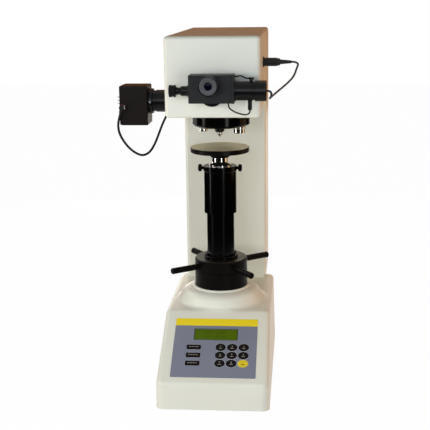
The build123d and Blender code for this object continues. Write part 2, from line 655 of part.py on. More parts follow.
def make_thrust_bearing():
    """The ball thrust bearing under the nut: two washers with a ring of balls between them."""
    bore = SCREW_RADIUS + 1.0
    rim = NUT_RADIUS - SLIDE_GAP
    top = HUB_TOP_Z - NUT_HEIGHT - RUNNING_FIT
    middle = (BEARING_FLOOR_Z + top) / 2
    lower = pipe((0, 0, BEARING_FLOOR_Z), (0, 0, middle - 1), rim, bore)
    upper = pipe((0, 0, middle + 1), (0, 0, top), rim, bore)
    cage = pipe((0, 0, middle - 1), (0, 0, middle + 1), rim - CAGE_INSET, bore + CAGE_INSET)
    return lower + upper + cage


def make_handwheel():
    """The hub, its nut and its four spokes, which turn together."""
    hub = turned([
        (NUT_RADIUS, HUB_BOTTOM_Z), (HUB_RADIUS - EDGE_BREAK, HUB_BOTTOM_Z),
        (HUB_RADIUS, HUB_BOTTOM_Z + EDGE_BREAK), (HUB_RADIUS, HUB_TOP_Z - HUB_CHAMFER),
        (HUB_RADIUS - HUB_CHAMFER, HUB_TOP_Z), (NUT_RADIUS, HUB_TOP_Z),
    ])
    nut_bottom = HUB_TOP_Z - NUT_HEIGHT
    nut = pipe((0, 0, nut_bottom), (0, 0, HUB_TOP_Z), NUT_RADIUS, SCREW_RADIUS + RUNNING_FIT)
    spokes = []
    for number in range(SPOKE_COUNT):
        turn = Rot(0, 0, SPOKE_START + 360 * number / SPOKE_COUNT)
        socket = turn * rod((SPOKE_SEAT, 0, SPOKE_Z), (HUB_RADIUS, 0, SPOKE_Z), SPOKE_RADIUS)
        hub -= socket
        spokes.append(turn * turned(
            [(0, SPOKE_SEAT), (SPOKE_RADIUS, SPOKE_SEAT), (SPOKE_RADIUS, SPOKE_REACH - SPOKE_CHAMFER),
             (SPOKE_RADIUS - SPOKE_CHAMFER, SPOKE_REACH), (0, SPOKE_REACH)],
            origin=(0, 0, SPOKE_Z), direction=(1, 0, 0)))
    return hub, nut, spokes


def make_lower_tube():
    """The lower dust tube, which is screwed to the hub and runs inside the upper one."""
    bore = LOWER_TUBE_RADIUS - LOWER_TUBE_WALL
    shoulder = HUB_TOP_Z + LOWER_FLANGE_HEIGHT
    lower_top = UPPER_TUBE_BOTTOM_Z + LIFT_UP + TUBE_OVERLAP
    tube = turned([
        (bore, HUB_TOP_Z), (LOWER_FLANGE_RADIUS, HUB_TOP_Z),
        (LOWER_FLANGE_RADIUS, shoulder - 1), (LOWER_FLANGE_RADIUS - 1, shoulder),
        (LOWER_TUBE_RADIUS + TUBE_FOOT, shoulder),
        (LOWER_TUBE_RADIUS + TUBE_FOOT, shoulder + TUBE_FOOT_HEIGHT),
        (LOWER_TUBE_RADIUS, shoulder + TUBE_FOOT_HEIGHT + 1),
        (LOWER_TUBE_RADIUS, lower_top), (bore, lower_top),
    ])
    screws = []
    for number in range(FLANGE_SCREWS):
        angle = 2 * math.pi * (number + 0.5) / FLANGE_SCREWS
        x = FLANGE_SCREW_CIRCLE * math.cos(angle)
        y = FLANGE_SCREW_CIRCLE * math.sin(angle)
        foot = (x, y, shoulder)
        top = (x, y, shoulder + FLANGE_SCREW_HEIGHT)
        socket_floor = (x, y, shoulder + FLANGE_SCREW_HEIGHT / 2)
        screws.append(pipe(foot, top, FLANGE_SCREW_RADIUS, FLANGE_SOCKET_RADIUS)
                      + rod(foot, socket_floor, FLANGE_SCREW_RADIUS))
    return tube, screws


def make_screw_and_table():
    """The elevating screw with its stem, the table and the upper dust tube."""
    cap_bottom = UPPER_TUBE_TOP_Z - CAP_HEIGHT
    collar_top = UPPER_TUBE_TOP_Z + COLLAR_HEIGHT
    screw = rod((0, 0, SCREW_BOTTOM_Z), (0, 0, cap_bottom), SCREW_RADIUS)
    screw -= block(
        (-KEY_WIDTH / 2 - RUNNING_FIT, KEY_WIDTH / 2 + RUNNING_FIT),
        (SCREW_RADIUS - KEY_DEPTH, SCREW_RADIUS),
        (SCREW_BOTTOM_Z, cap_bottom - KEYWAY_END),
    )
    screw += turned([
        (0, cap_bottom), (PLUG_RADIUS, cap_bottom), (PLUG_RADIUS, UPPER_TUBE_TOP_Z),
        (COLLAR_RADIUS, UPPER_TUBE_TOP_Z), (COLLAR_RADIUS, collar_top - COLLAR_CHAMFER),
        (COLLAR_RADIUS - COLLAR_CHAMFER, collar_top),
        (STEM_RADIUS + NECK_FLARE, collar_top + NECK_LOW), (STEM_RADIUS, collar_top + NECK_HIGH),
        (STEM_RADIUS, STEM_TOP_Z),
        (SPIGOT_RADIUS, STEM_TOP_Z), (SPIGOT_RADIUS, STEM_TOP_Z + SPIGOT_LENGTH),
        (0, STEM_TOP_Z + SPIGOT_LENGTH),
    ])
    under = TABLE_TOP_Z - TABLE_EDGE
    table = turned([
        (0, TABLE_TOP_Z), (TABLE_RADIUS - TABLE_CHAMFER, TABLE_TOP_Z),
        (TABLE_RADIUS, TABLE_TOP_Z - TABLE_CHAMFER),
        (TABLE_RADIUS, under + 1), (TABLE_RADIUS - 1, under), (TABLE_BOSS_RADIUS + 2, under),
        (TABLE_BOSS_RADIUS, under - 2), (TABLE_BOSS_RADIUS, STEM_TOP_Z),
        (SPIGOT_RADIUS + RUNNING_FIT, STEM_TOP_Z),
        (SPIGOT_RADIUS + RUNNING_FIT, STEM_TOP_Z + SPIGOT_LENGTH + SLIDE_GAP),
        (0, STEM_TOP_Z + SPIGOT_LENGTH + SLIDE_GAP),
    ])
    bore = UPPER_TUBE_RADIUS - UPPER_TUBE_WALL
    tube = turned([
        (bore, UPPER_TUBE_BOTTOM_Z), (UPPER_TUBE_RADIUS, UPPER_TUBE_BOTTOM_Z),
        (UPPER_TUBE_RADIUS, cap_bottom - 1), (UPPER_TUBE_RADIUS + 1, cap_bottom),
        (UPPER_TUBE_RADIUS + 1, UPPER_TUBE_TOP_Z - CAP_CHAMFER),
        (UPPER_TUBE_RADIUS, UPPER_TUBE_TOP_Z),
        (PLUG_RADIUS, UPPER_TUBE_TOP_Z), (PLUG_RADIUS, cap_bottom), (bore, cap_bottom),
    ])
    thumb_screws = {}
    for side, name in ((-1, "thumb_screw_left"), (1, "thumb_screw_right")):
        seat = (side * (PLUG_RADIUS - 1), 0, THUMB_Z)
        face = (side * (UPPER_TUBE_RADIUS + THUMB_NECK), 0, THUMB_Z)
        tube -= rod(seat, (side * (UPPER_TUBE_RADIUS + 2), 0, THUMB_Z),
                    THUMB_SHANK_RADIUS + RUNNING_FIT)
        start = (side * (PLUG_RADIUS + SEAT_GAP), 0, THUMB_Z)
        head = Plane(origin=face, z_dir=(side, 0, 0)) * ribbed(
            THUMB_HEAD_RADIUS, THUMB_HEAD_LENGTH, THUMB_RIBS, THUMB_RIB_DEPTH)
        thumb_screws[name] = head + rod(start, face, THUMB_SHANK_RADIUS)
    return screw, table, tube, thumb_screws


# ---- turret -----------------------------------------------------------------------------
def make_turret():
    """The turret and what it carries: two objectives and the indenter."""
    centre = (0, STATION_RADIUS, 0)
    mount = turned([
        (TURRET_AXLE_RADIUS + RUNNING_FIT, MOUNT_BOTTOM_Z), (MOUNT_RING_RADIUS, MOUNT_BOTTOM_Z),
        (MOUNT_RING_RADIUS, HEAD_BOTTOM_Z), (MOUNT_SPIGOT_RADIUS, HEAD_BOTTOM_Z),
        (MOUNT_SPIGOT_RADIUS, MOUNT_SPIGOT_TOP_Z),
        (TURRET_AXLE_RADIUS + RUNNING_FIT, MOUNT_SPIGOT_TOP_Z),
    ], origin=centre)
    body = turned([
        (0, TURRET_BOTTOM_Z), (TURRET_FACE_RADIUS, TURRET_BOTTOM_Z),
        (TURRET_RADIUS - 2, TURRET_EDGE_Z - 2.4), (TURRET_RADIUS, TURRET_EDGE_Z),
        (TURRET_RADIUS, TURRET_TOP_Z - 1), (TURRET_RADIUS - 1, TURRET_TOP_Z),
        (TURRET_AXLE_RADIUS, TURRET_TOP_Z), (TURRET_AXLE_RADIUS, MOUNT_SPIGOT_TOP_Z),
        (0, MOUNT_SPIGOT_TOP_Z),
    ], origin=centre)
    floor = TURRET_BOTTOM_Z
    short_place = (-STATION_RADIUS, STATION_RADIUS, 0)
    long_place = (STATION_RADIUS, STATION_RADIUS, 0)
    for place, seat in ((short_place, LENS_SEAT), (long_place, LENS_SEAT), ((0, 0, 0), HOLDER_SEAT)):
        x, y, _ = place
        body -= rod((x, y, floor - 1), (x, y, floor + LENS_SINK), seat)
    short = turned([
        (0, SHORT_LENS_TIP_Z + 1), (4.5, SHORT_LENS_TIP_Z + 1), (5.5, SHORT_LENS_TIP_Z),
        (SHORT_LENS_RADIUS - 1.2, SHORT_LENS_TIP_Z), (SHORT_LENS_RADIUS, SHORT_LENS_TIP_Z + 1.2),
        (SHORT_LENS_RADIUS, floor - SEAT_GAP), (LENS_SEAT, floor - SEAT_GAP),
        (LENS_SEAT, floor + LENS_SINK), (0, floor + LENS_SINK),
    ], origin=short_place)
    long = turned([
        (0, LONG_LENS_TIP_Z + 0.8), (3, LONG_LENS_TIP_Z + 0.8), (3.8, LONG_LENS_TIP_Z),
        (LONG_LENS_RADIUS - 1.6, LONG_LENS_TIP_Z), (LONG_LENS_RADIUS - 0.6, LONG_LENS_TIP_Z + 1.2),
        (LONG_LENS_RADIUS - 0.6, LONG_LENS_TIP_Z + 9), (LONG_LENS_RADIUS, LONG_LENS_TIP_Z + 9.6),
        (LONG_LENS_RADIUS, floor - SEAT_GAP), (LENS_SEAT, floor - SEAT_GAP),
        (LENS_SEAT, floor + LENS_SINK), (0, floor + LENS_SINK),
    ], origin=long_place)
    holder = turned([
        (INDENTER_RADIUS, HOLDER_BOTTOM_Z), (HOLDER_RADIUS - 2, HOLDER_BOTTOM_Z),
        (HOLDER_RADIUS, HOLDER_BOTTOM_Z + 2), (HOLDER_RADIUS, floor + LENS_SINK),
        (INDENTER_RADIUS, floor + LENS_SINK),
    ])
    indenter = turned([
        (0, INDENTER_TIP_Z), (0.9, INDENTER_TIP_Z + 0.5), (1.4, INDENTER_TIP_Z + 2.6),
        (INDENTER_RADIUS, INDENTER_TIP_Z + 6), (INDENTER_RADIUS, floor + LENS_SINK),
        (0, floor + LENS_SINK),
    ])
    return mount, body, short, long, holder, indenter


# ---- measuring eyepiece -----------------------------------------------------------------
def make_measuring_head():
    """The measuring head's housings, which turn in the flange on the head's front."""
    axis_front = (0, BLOCK_REAR_FACE_Y, MEASURE_Z)
    low = BLOCK_Z - BLOCK_HEIGHT / 2
    high = BLOCK_Z + BLOCK_HEIGHT / 2
    flange = turned([
        (JOURNAL_RADIUS + RUNNING_FIT, 0), (FLANGE_RADIUS, 0), (FLANGE_RADIUS, FLANGE_DEPTH - 1.5),
        (FLANGE_RADIUS - 1.5, FLANGE_DEPTH), (JOURNAL_RADIUS + RUNNING_FIT, FLANGE_DEPTH),
    ], origin=(0, HEAD_FRONT_Y, MEASURE_Z), direction=(0, -1, 0))
    half = BLOCK_WIDTH / 2
    body = block((-half, half), (BLOCK_FRONT_Y, BLOCK_REAR_FACE_Y), (low, high))
    body = fillet(body.edges(), 1.2)
    body += rod(axis_front, (0, HEAD_FRONT_Y - 1, MEASURE_Z), JOURNAL_RADIUS)
    lip = block(
        (half, BARREL_START_X),
        (BLOCK_FRONT_Y - LIP_PROUD, BLOCK_REAR_FACE_Y),
        (low - LIP_PROUD, high + LIP_PROUD),
    )
    body += fillet(lip.edges().filter_by(Axis.X), 2)
    length = BARREL_LENGTH
    barrel = turned([
        (0, 0), (BARREL_RADIUS + 1, 0), (BARREL_RADIUS + 1, 3), (BARREL_RADIUS, 4),
        (BARREL_RADIUS, length - 3), (BARREL_RADIUS - 0.8, length - 2.4),
        (BARREL_RADIUS - 0.8, length), (0, length),
    ], origin=(BARREL_START_X, MICROMETER_Y, MICROMETER_Z), direction=(1, 0, 0))
    barrel += rod((STUB_X, MICROMETER_Y, MICROMETER_Z), (STUB_X, MICROMETER_Y, STUB_TOP_Z - 3.5), 2.6)
    barrel += rod((STUB_X, MICROMETER_Y, STUB_TOP_Z - 3.5), (STUB_X, MICROMETER_Y, STUB_TOP_Z), 4.3)
    barrel += rod((POST_X, MICROMETER_Y, MICROMETER_Z), (POST_X, MICROMETER_Y, POST_BOTTOM_Z), 3.6)
    cap_length = END_CAP_LENGTH
    cap = turned([
        (0, 0), (END_CAP_RADIUS - 0.6, 0), (END_CAP_RADIUS, 0.6), (END_CAP_RADIUS, cap_length - 1.2),
        (END_CAP_RADIUS - 1.2, cap_length), (0, cap_length),
    ], origin=(BARREL_END_X, MICROMETER_Y, MICROMETER_Z), direction=(1, 0, 0))
    return flange, body, barrel, cap


def make_knob():
    """The sleeve on the block's left side and the knob that moves the measuring line."""
    half = BLOCK_WIDTH / 2
    reach = -KNOB_INNER_X - half
    bore = KNOB_SHAFT_RADIUS + RUNNING_FIT
    sleeve = turned([
        (bore, 0), (9.6, 0), (9.6, 2), (8.4, 4), (8.2, reach - 9), (5.8, reach - 5.5),
        (5.8, reach - 3), (6.6, reach - 2.5), (6.6, reach), (bore, reach),
    ], origin=(-half, MICROMETER_Y, MICROMETER_Z), direction=(-1, 0, 0))
    inner = (KNOB_INNER_X - SLIDE_GAP, MICROMETER_Y, MICROMETER_Z)
    length = KNOB_INNER_X - SLIDE_GAP - KNOB_OUTER_X
    grip = Plane(origin=inner, z_dir=(-1, 0, 0)) * ribbed(KNOB_RADIUS, length, KNOB_RIBS, 0.7)
    groove = Plane(origin=inner, z_dir=(-1, 0, 0)) * (
        Pos(0, 0, length * 0.42) * (Cylinder(KNOB_RADIUS + 1, 1.6) - Cylinder(KNOB_RADIUS - 1.6, 1.6)))
    shaft = rod((-half - 1, MICROMETER_Y, MICROMETER_Z), inner, KNOB_SHAFT_RADIUS)
    return sleeve, grip - groove + shaft


def make_eyepiece():
    """The eyepiece tube, the dioptre ring that turns on its nose, and the eye lens."""
    step = BLOCK_FRONT_Y - EYEPIECE_STEP_Y
    nose = BLOCK_FRONT_Y - DIOPTRE_FRONT_Y
    tube = turned([
        (0, 0), (EYEPIECE_RADIUS + 2, 0), (EYEPIECE_RADIUS + 2, 3), (EYEPIECE_RADIUS, 4),
        (EYEPIECE_RADIUS, step), (NOSE_RADIUS, step), (NOSE_RADIUS, nose - 3), (EYE_LENS_RADIUS, nose - 3),
        (EYE_LENS_RADIUS, nose - 7), (0, nose - 7),
    ], origin=(0, BLOCK_FRONT_Y, EYEPIECE_Z), direction=(0, -1, 0))
    ring = turned([
        (NOSE_RADIUS + RUNNING_FIT, step + SLIDE_GAP), (DIOPTRE_RADIUS - 0.8, step + SLIDE_GAP),
        (DIOPTRE_RADIUS, step + 1.2), (DIOPTRE_RADIUS, nose - 1), (DIOPTRE_RADIUS - 1, nose),
        (EYE_LENS_RADIUS + 1.5, nose), (EYE_LENS_RADIUS + 1.5, nose - 2.6),
        (NOSE_RADIUS + RUNNING_FIT, nose - 2.6),
    ], origin=(0, BLOCK_FRONT_Y, EYEPIECE_Z), direction=(0, -1, 0))
    lens = turned([
        (0, nose - 7), (EYE_LENS_RADIUS, nose - 7), (EYE_LENS_RADIUS, nose - 4.6),
        (EYE_LENS_RADIUS * 0.6, nose - 3.7), (0, nose - 3.4),
    ], origin=(0, BLOCK_FRONT_Y, EYEPIECE_Z), direction=(0, -1, 0))
    return tube, ring, lens


# ---- side camera ------------------------------------------------------------------------
def make_camera():
    """The camera's port and adapter tube, its lens ring, its body and its back."""
    adapter = turned([
        (0, 0), (PORT_FLANGE_RADIUS, 0), (PORT_FLANGE_RADIUS, PORT_FLANGE_DEPTH),
        (ADAPTER_RADIUS, PORT_FLANGE_DEPTH), (ADAPTER_RADIUS, ADAPTER_LENGTH - 6),
        (ADAPTER_RADIUS - 1, ADAPTER_LENGTH - 5), (ADAPTER_RADIUS - 1, ADAPTER_LENGTH),
        (0, ADAPTER_LENGTH),
    ], origin=(-HALF_HEAD, 0, CAMERA_Z), direction=(-1, 0, 0))
    ring = turned([
        (0, 0), (CAMERA_RING_RADIUS - 1, 0), (CAMERA_RING_RADIUS, 1),
        (CAMERA_RING_RADIUS, CAMERA_RING_LENGTH - 1.6),
        (CAMERA_RING_RADIUS - 1.4, CAMERA_RING_LENGTH - 1.2),
        (CAMERA_RING_RADIUS - 1.4, CAMERA_RING_LENGTH), (0, CAMERA_RING_LENGTH),
    ], origin=(CAMERA_RING_X, 0, CAMERA_Z), direction=(-1, 0, 0))
    ring += rod((SET_SCREW_X, 0, CAMERA_Z), (SET_SCREW_X, -CAMERA_RING_RADIUS - 1.2, CAMERA_Z), 2.2)
    body = block(
        (CAMERA_FACE_X - CAMERA_LENGTH + CAMERA_BACK, CAMERA_FACE_X),
        (-CAMERA_HALF_DEPTH, CAMERA_HALF_DEPTH),
        (CAMERA_BOTTOM_Z, CAMERA_TOP_Z),
    )
    body = fillet(body.edges().filter_by(Axis.X), 3)
    body = chamfer(body.faces().sort_by(Axis.X)[-1].edges(), 1.2)
    back_x = CAMERA_FACE_X - CAMERA_LENGTH
    back = block(
        (back_x, back_x + CAMERA_BACK),
        (CAMERA_STEP - CAMERA_HALF_DEPTH, CAMERA_HALF_DEPTH - CAMERA_STEP),
        (CAMERA_BOTTOM_Z + CAMERA_STEP, CAMERA_TOP_Z - CAMERA_STEP),
    )
    body += fillet(back.edges().filter_by(Axis.X), 3)
    for level in PIN_LEVELS:
        body += rod((back_x - PIN_LENGTH, PIN_Y, level), (back_x, PIN_Y, level), PIN_RADIUS)
    return adapter, ring, body


# ---- leads ------------------------------------------------------------------------------
CAMERA_CABLE_ROUTE = [
    (-179.6, -32.6, 510.5), (-183.2, -31.8, 500.0), (-185.6, -30.0, 485.5), (-182.8, -26.8, 469.0),
    (-172.7, -21.0, 450.0), (-160.4, -12.0, 435.3), (-146.6, 0.0, 426.2), (-134.6, 12.0, 430.6),
    (-126.6, 27.0, 444.6), (-120.6, 43.0, 462.5), (-115.0, 59.4, 480.6), (-107.4, 74.0, 497.0),
    (-98.6, 87.4, 508.8), (-93.6, 96.0, 520.6), (-93.6, 96.0, 532.0),
]
ENCODER_LEAD_ROUTE = [
    (133.0, -25.0, 602.2), (138.0, -25.0, 602.2), (143.0, -28.0, 600.7), (145.4, -33.5, 598.1),
    (142.9, -43.2, 593.5), (138.0, -62.0, 579.8), (128.0, -82.0, 570.5), (117.0, -102.0, 562.8),
    (107.4, -122.0, 556.4), (100.4, -139.0, 551.8), (97.8, -151.5, 550.2), (98.8, -160.6, 551.4),
    (100.6, -167.2, 554.8), (101.4, -171.0, 559.4), (100.6, -172.0, 563.2), (97.2, -172.0, 565.0),
    (93.5, -172.0, 565.0),
]
TOP_WIRE_ROUTE = [
    (40.0, -172.0, 589.0), (45.0, -172.0, 589.0), (51.0, -172.4, 590.6), (58.9, -172.0, 585.8),
    (63.7, -172.0, 585.8),
]
BOTTOM_WIRE_ROUTE = [
    (65.6, -172.0, 533.5), (65.6, -172.0, 528.5), (60.0, -172.4, 525.0), (50.0, -172.2, 526.4),
    (39.5, -172.0, 530.2), (31.5, -171.9, 535.5), (29.6, -172.0, 540.8), (29.6, -172.0, 545.75),
]

SOCKET_RADIUS = 9.5
SOCKET_FACE_RADIUS = 8.2
SOCKET_EDGE = 1.6
SOCKET_HEIGHT = 2.4
VIDEO_PLUG_LENGTH = 9.5
VIDEO_PLUG_RADIUS = 5.2


def make_plugs():
    """The sockets on the head's sides and the plugs that stand in them."""
    rim = [
        (0, 0), (SOCKET_RADIUS, 0), (SOCKET_RADIUS, SOCKET_EDGE), (SOCKET_FACE_RADIUS, SOCKET_HEIGHT),
        (0, SOCKET_HEIGHT),
    ]
    sockets = [
        turned(rim, origin=(HALF_HEAD, SIDE_SOCKET_Y, SIDE_SOCKET_Z), direction=(1, 0, 0)),
        turned(rim, origin=(-HALF_HEAD, CAMERA_SOCKET_Y, CAMERA_SOCKET_Z), direction=(-1, 0, 0)),
    ]
    start = SOCKET_HEIGHT
    end = SIDE_PLUG_LENGTH
    sleeve_end = end + SIDE_SLEEVE_LENGTH + 0.4
    encoder_plug = turned([
        (0, start), (SIDE_PLUG_RADIUS, start), (SIDE_PLUG_RADIUS, end - 6),
        (SIDE_PLUG_RADIUS - 1, end - 5), (SIDE_PLUG_RADIUS - 1, end - 1), (SIDE_PLUG_RADIUS - 2, end),
        (4.4, end), (2.6, sleeve_end), (0, sleeve_end),
    ], origin=(HALF_HEAD, SIDE_SOCKET_Y, SIDE_SOCKET_Z), direction=(1, 0, 0))
    route_end = CAMERA_CABLE_ROUTE[-1]
    centre_x = route_end[0]
    camera_plug = rod((-HALF_HEAD - start, CAMERA_SOCKET_Y, CAMERA_SOCKET_Z),
                      (centre_x - 6.5, CAMERA_SOCKET_Y, CAMERA_SOCKET_Z), 6.8)
    camera_plug += turned(
        [(0, route_end[2]), (3.2, route_end[2]), (4.6, route_end[2] + 11),
         (4.6, CAMERA_SOCKET_Z), (0, CAMERA_SOCKET_Z)], origin=(centre_x, CAMERA_SOCKET_Y, 0))
    first = Vector(*CAMERA_CABLE_ROUTE[0])
    way = (first - Vector(*CAMERA_CABLE_ROUTE[1])).normalized()
    boot = Plane(origin=first, z_dir=way) * Cone(3.0, 4.2, 9, align=ON_BASE)
    hub = first + way * 11
    camera_front = -CAMERA_HALF_DEPTH
    video_plug = boot + rod(
        (hub.X, camera_front - VIDEO_PLUG_LENGTH, hub.Z), (hub.X, camera_front, hub.Z), VIDEO_PLUG_RADIUS)
    return sockets, encoder_plug, camera_plug, video_plug


# ---- assembly ---------------------------------------------------------------------------
def make_all():
    """Every node's solids, by node name, where they stand at rest."""
    nodes = {}
    nodes["base_housing"] = make_base_housing()
    nodes["base_plate"] = plate_outline(PLATE_REBATE + SEAT_GAP, FOOT_HEIGHT, BASE_PLATE_THICKNESS)
    nodes["rubber_feet"] = make_feet()
    nodes["column_cover"] = make_column_cover()
    nodes["rear_cover"], nodes["rear_cover_screws"] = make_rear_cover()
    nodes["power_module"] = make_power_module()
    nodes["power_switch"] = make_power_switch()
    overlay, glass, board, keys = make_keypad()
    nodes["keypad_overlay"] = overlay
    nodes["display"] = glass
    nodes["keypad_board"] = board
    nodes.update(keys)
    nodes["bearing_housing"] = make_bearing_housing()
    nodes["thrust_bearing"] = make_thrust_bearing()
    nodes["handwheel_hub"], nodes["screw_nut"], nodes["handwheel_spokes"] = make_handwheel()
    nodes["lower_dust_tube"], nodes["flange_screws"] = make_lower_tube()
    screw, table, tube, thumb_screws = make_screw_and_table()
    nodes["elevating_screw"] = screw
    nodes["specimen_table"] = table
    nodes["upper_dust_tube"] = tube
    nodes.update(thumb_screws)
    mount, body, short, long, holder, indenter = make_turret()
    nodes["turret_mount"] = mount
    nodes["turret_body"] = body
    nodes["short_objective"] = short
    nodes["long_objective"] = long
    nodes["indenter_holder"] = holder
    nodes["indenter"] = indenter
    flange, body, barrel, cap = make_measuring_head()
    nodes["eyepiece_flange"] = flange
    nodes["measuring_block"] = body
    nodes["encoder_barrel"] = barrel
    nodes["encoder_cap"] = cap
    nodes["knob_sleeve"], nodes["measuring_knob"] = make_knob()
    nodes["eyepiece_tube"], nodes["dioptre_ring"], nodes["eye_lens"] = make_eyepiece()
    adapter, ring, body = make_camera()
    nodes["camera_adapter"] = adapter
    nodes["camera_ring"] = ring
    nodes["camera_body"] = body
    sockets, encoder_plug, camera_plug, video_plug = make_plugs()
    nodes["side_sockets"] = sockets
    nodes["encoder_plug"] = encoder_plug
    nodes["camera_plug"] = camera_plug
    nodes["video_plug"] = video_plug
    nodes["camera_cable"] = cord(CAMERA_CABLE_ROUTE, CAMERA_CABLE)
    nodes["encoder_lead"] = cord(ENCODER_LEAD_ROUTE, ENCODER_LEAD)
    nodes["link_wires"] = [cord(TOP_WIRE_ROUTE, LINK_WIRE), cord(BOTTOM_WIRE_ROUTE, LINK_WIRE)]
    return nodes


CORD_NODES = (
    "camera_cable", "encoder_lead", "link_wires", "encoder_plug", "camera_plug", "video_plug",
)


def origin_shift(nodes):
    """How far the tester moves so that its own box, without its leads, is centred on X and Y."""
    boxes = [Compound(solids_of(shape)).bounding_box()
             for name, shape in nodes.items() if name not in CORD_NODES]
    low_x = min(box.min.X for box in boxes)
    high_x = max(box.max.X for box in boxes)
    low_y = min(box.min.Y for box in boxes)
    high_y = max(box.max.Y for box in boxes)
    return Vector(-(low_x + high_x) / 2, -(low_y + high_y) / 2, 0)


def solids_of(shape):
    """The separate solids of a node."""
    pieces = shape if isinstance(shape, list) else [shape]
    return [solid for piece in pieces for solid in piece.solids()]


def export_all():
    """Write one STEP file for each node."""
    nodes = make_all()
    shift = origin_shift(nodes)
    print("shift", round(shift.X, 4), round(shift.Y, 4), "nodes", len(nodes))
    for name, shape in nodes.items():
        moved = [Pos(shift) * solid for solid in solids_of(shape)]
        whole = moved[0] if len(moved) == 1 else Compound(moved)
        export_step(whole, f"parts/{name}.step")


export_all()
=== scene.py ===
"""Looks of a bench micro hardness tester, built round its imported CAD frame.

The CAD nodes keep their shapes and get the real finishes here. Leads are smooth curves, and
the turned, knurled and printed pieces that the CAD leaves plain are surfaces worked out from
formulas. Sizes are in millimetres, counted from the elevating screw's axis on the floor,
unless a name says otherwise.
"""
from __future__ import annotations

import json
import logging
import math
from dataclasses import dataclass, field
from enum import Enum
from typing import Any, Callable, Sequence

import bmesh
import bpy
import numpy as np
from mathutils import Matrix, Vector

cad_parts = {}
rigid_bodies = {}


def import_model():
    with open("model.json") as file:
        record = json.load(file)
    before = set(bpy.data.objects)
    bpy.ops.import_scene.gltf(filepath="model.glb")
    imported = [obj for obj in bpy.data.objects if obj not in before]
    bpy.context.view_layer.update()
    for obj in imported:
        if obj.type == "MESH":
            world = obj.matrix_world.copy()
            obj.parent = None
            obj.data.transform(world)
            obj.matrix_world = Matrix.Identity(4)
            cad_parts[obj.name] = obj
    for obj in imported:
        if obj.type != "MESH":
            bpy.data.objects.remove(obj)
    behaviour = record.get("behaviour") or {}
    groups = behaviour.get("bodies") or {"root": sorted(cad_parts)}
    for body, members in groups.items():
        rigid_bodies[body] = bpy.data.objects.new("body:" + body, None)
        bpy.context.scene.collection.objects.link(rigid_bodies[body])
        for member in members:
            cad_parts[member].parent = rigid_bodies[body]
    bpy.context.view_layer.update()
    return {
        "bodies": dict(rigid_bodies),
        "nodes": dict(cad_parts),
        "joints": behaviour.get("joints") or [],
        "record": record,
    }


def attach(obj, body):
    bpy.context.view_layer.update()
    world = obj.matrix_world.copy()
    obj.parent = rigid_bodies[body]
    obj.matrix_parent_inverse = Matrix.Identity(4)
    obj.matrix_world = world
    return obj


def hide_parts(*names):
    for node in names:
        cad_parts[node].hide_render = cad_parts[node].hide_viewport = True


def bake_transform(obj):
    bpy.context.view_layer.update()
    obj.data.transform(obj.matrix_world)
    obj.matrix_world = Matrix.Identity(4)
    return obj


LOG = logging.getLogger("hardness_tester")
MM = 0.001
SHARP = 35.0            # degrees between two faces, past which their edge stays sharp
PRINT_SHARP = 30.0      # the same on printing
LEAD_SHARP = 60.0       # and on leads
MERGED = 1e-6           # metres, below which two points are one
SLIVER = 1e-7           # metres, below which an edge is taken out
CORNER_SHARE = 0.45     # of a side, which the rounding of one corner may take up
FADE = 0.4              # over which flutes and knurls fade out
CAP_HEIGHT = 0.7        # height of a capital in the built-in font of size 1
NOISE_DETAIL = 2.5
GLOSS_SWING = 0.15      # share by which the fine grain changes the roughness
Point = tuple[float, float, float]
Profile = Sequence[tuple[float, float]]


class Body(Enum):
    """The CAD bodies that pieces ride on."""

    FRAME = "frame"
    HANDWHEEL = "handwheel"
    SCREW = "screw"
    TURRET = "turret"
    MEASURING_HEAD = "measuring_head"
    KNOB = "knob"
    DIOPTRE = "dioptre"
    ROCKER = "rocker"
    THUMB_LEFT = "thumb_left"
    THUMB_RIGHT = "thumb_right"


# ---- colours and nodes ------------------------------------------------------------------
def linear(colour: str) -> tuple[float, float, float, float]:
    """Turn an sRGB hex colour into the linear RGBA that shaders take.

    Args:
        colour: The colour as "#RRGGBB".

    Returns:
        Four floats, the last of them 1.
    """
    parts = [int(colour[start:start + 2], 16) / 255 for start in (1, 3, 5)]
    red, green, blue = [
        part / 12.92 if part <= 0.04045 else ((part + 0.055) / 1.055) ** 2.4 for part in parts
    ]
    return red, green, blue, 1.0


def add_node(
    tree: bpy.types.NodeTree, kind: str, inputs: dict[Any, Any] | None = None, **settings: Any
) -> bpy.types.Node:
    """Add a node to a tree, with its settings and its inputs filled or linked.

    Args:
        tree: The node tree that takes the node.
        kind: The node's type name.
        inputs: For each socket's name or number, a value or the output that feeds it.
        **settings: The node's own properties.

    Returns:
        The new node.
    """
    node = tree.nodes.new(kind)
    for name, value in settings.items():
        setattr(node, name, value)
    for name, value in (inputs or {}).items():
        if isinstance(value, bpy.types.NodeSocket):
            tree.links.new(value, node.inputs[name])
        else:
            node.inputs[name].default_value = value
    return node


def blank_material(name: str) -> bpy.types.Material:
    """Make a material with an empty node tree.

    Args:
        name: What the material is.

    Returns:
        The material.
    """
    material = bpy.data.materials.new(name)
    material.use_nodes = True
    material.node_tree.nodes.clear()
    return material


class Placing:
    """The elevating screw's axis on the floor, which every size below is counted from."""

    def __init__(self, frame: dict[str, Any]) -> None:
        """Read the axis from the handwheel's joint.
        """
        joint = next(each for each in frame["joints"] if each["name"] == "handwheel_turn")
        self.axis = Vector((joint["pos_m"][0], joint["pos_m"][1], 0.0))

    def at(self, point: Sequence[float]) -> Vector:
        """Give a point in the row frame, in metres, for one in millimetres from the axis."""
        return self.axis + Vector(point) * MM

    def all_at(self, points: np.ndarray) -> np.ndarray:
        """Do the same for an array whose last axis is X, Y and Z."""
        return points * MM + np.array(self.axis)


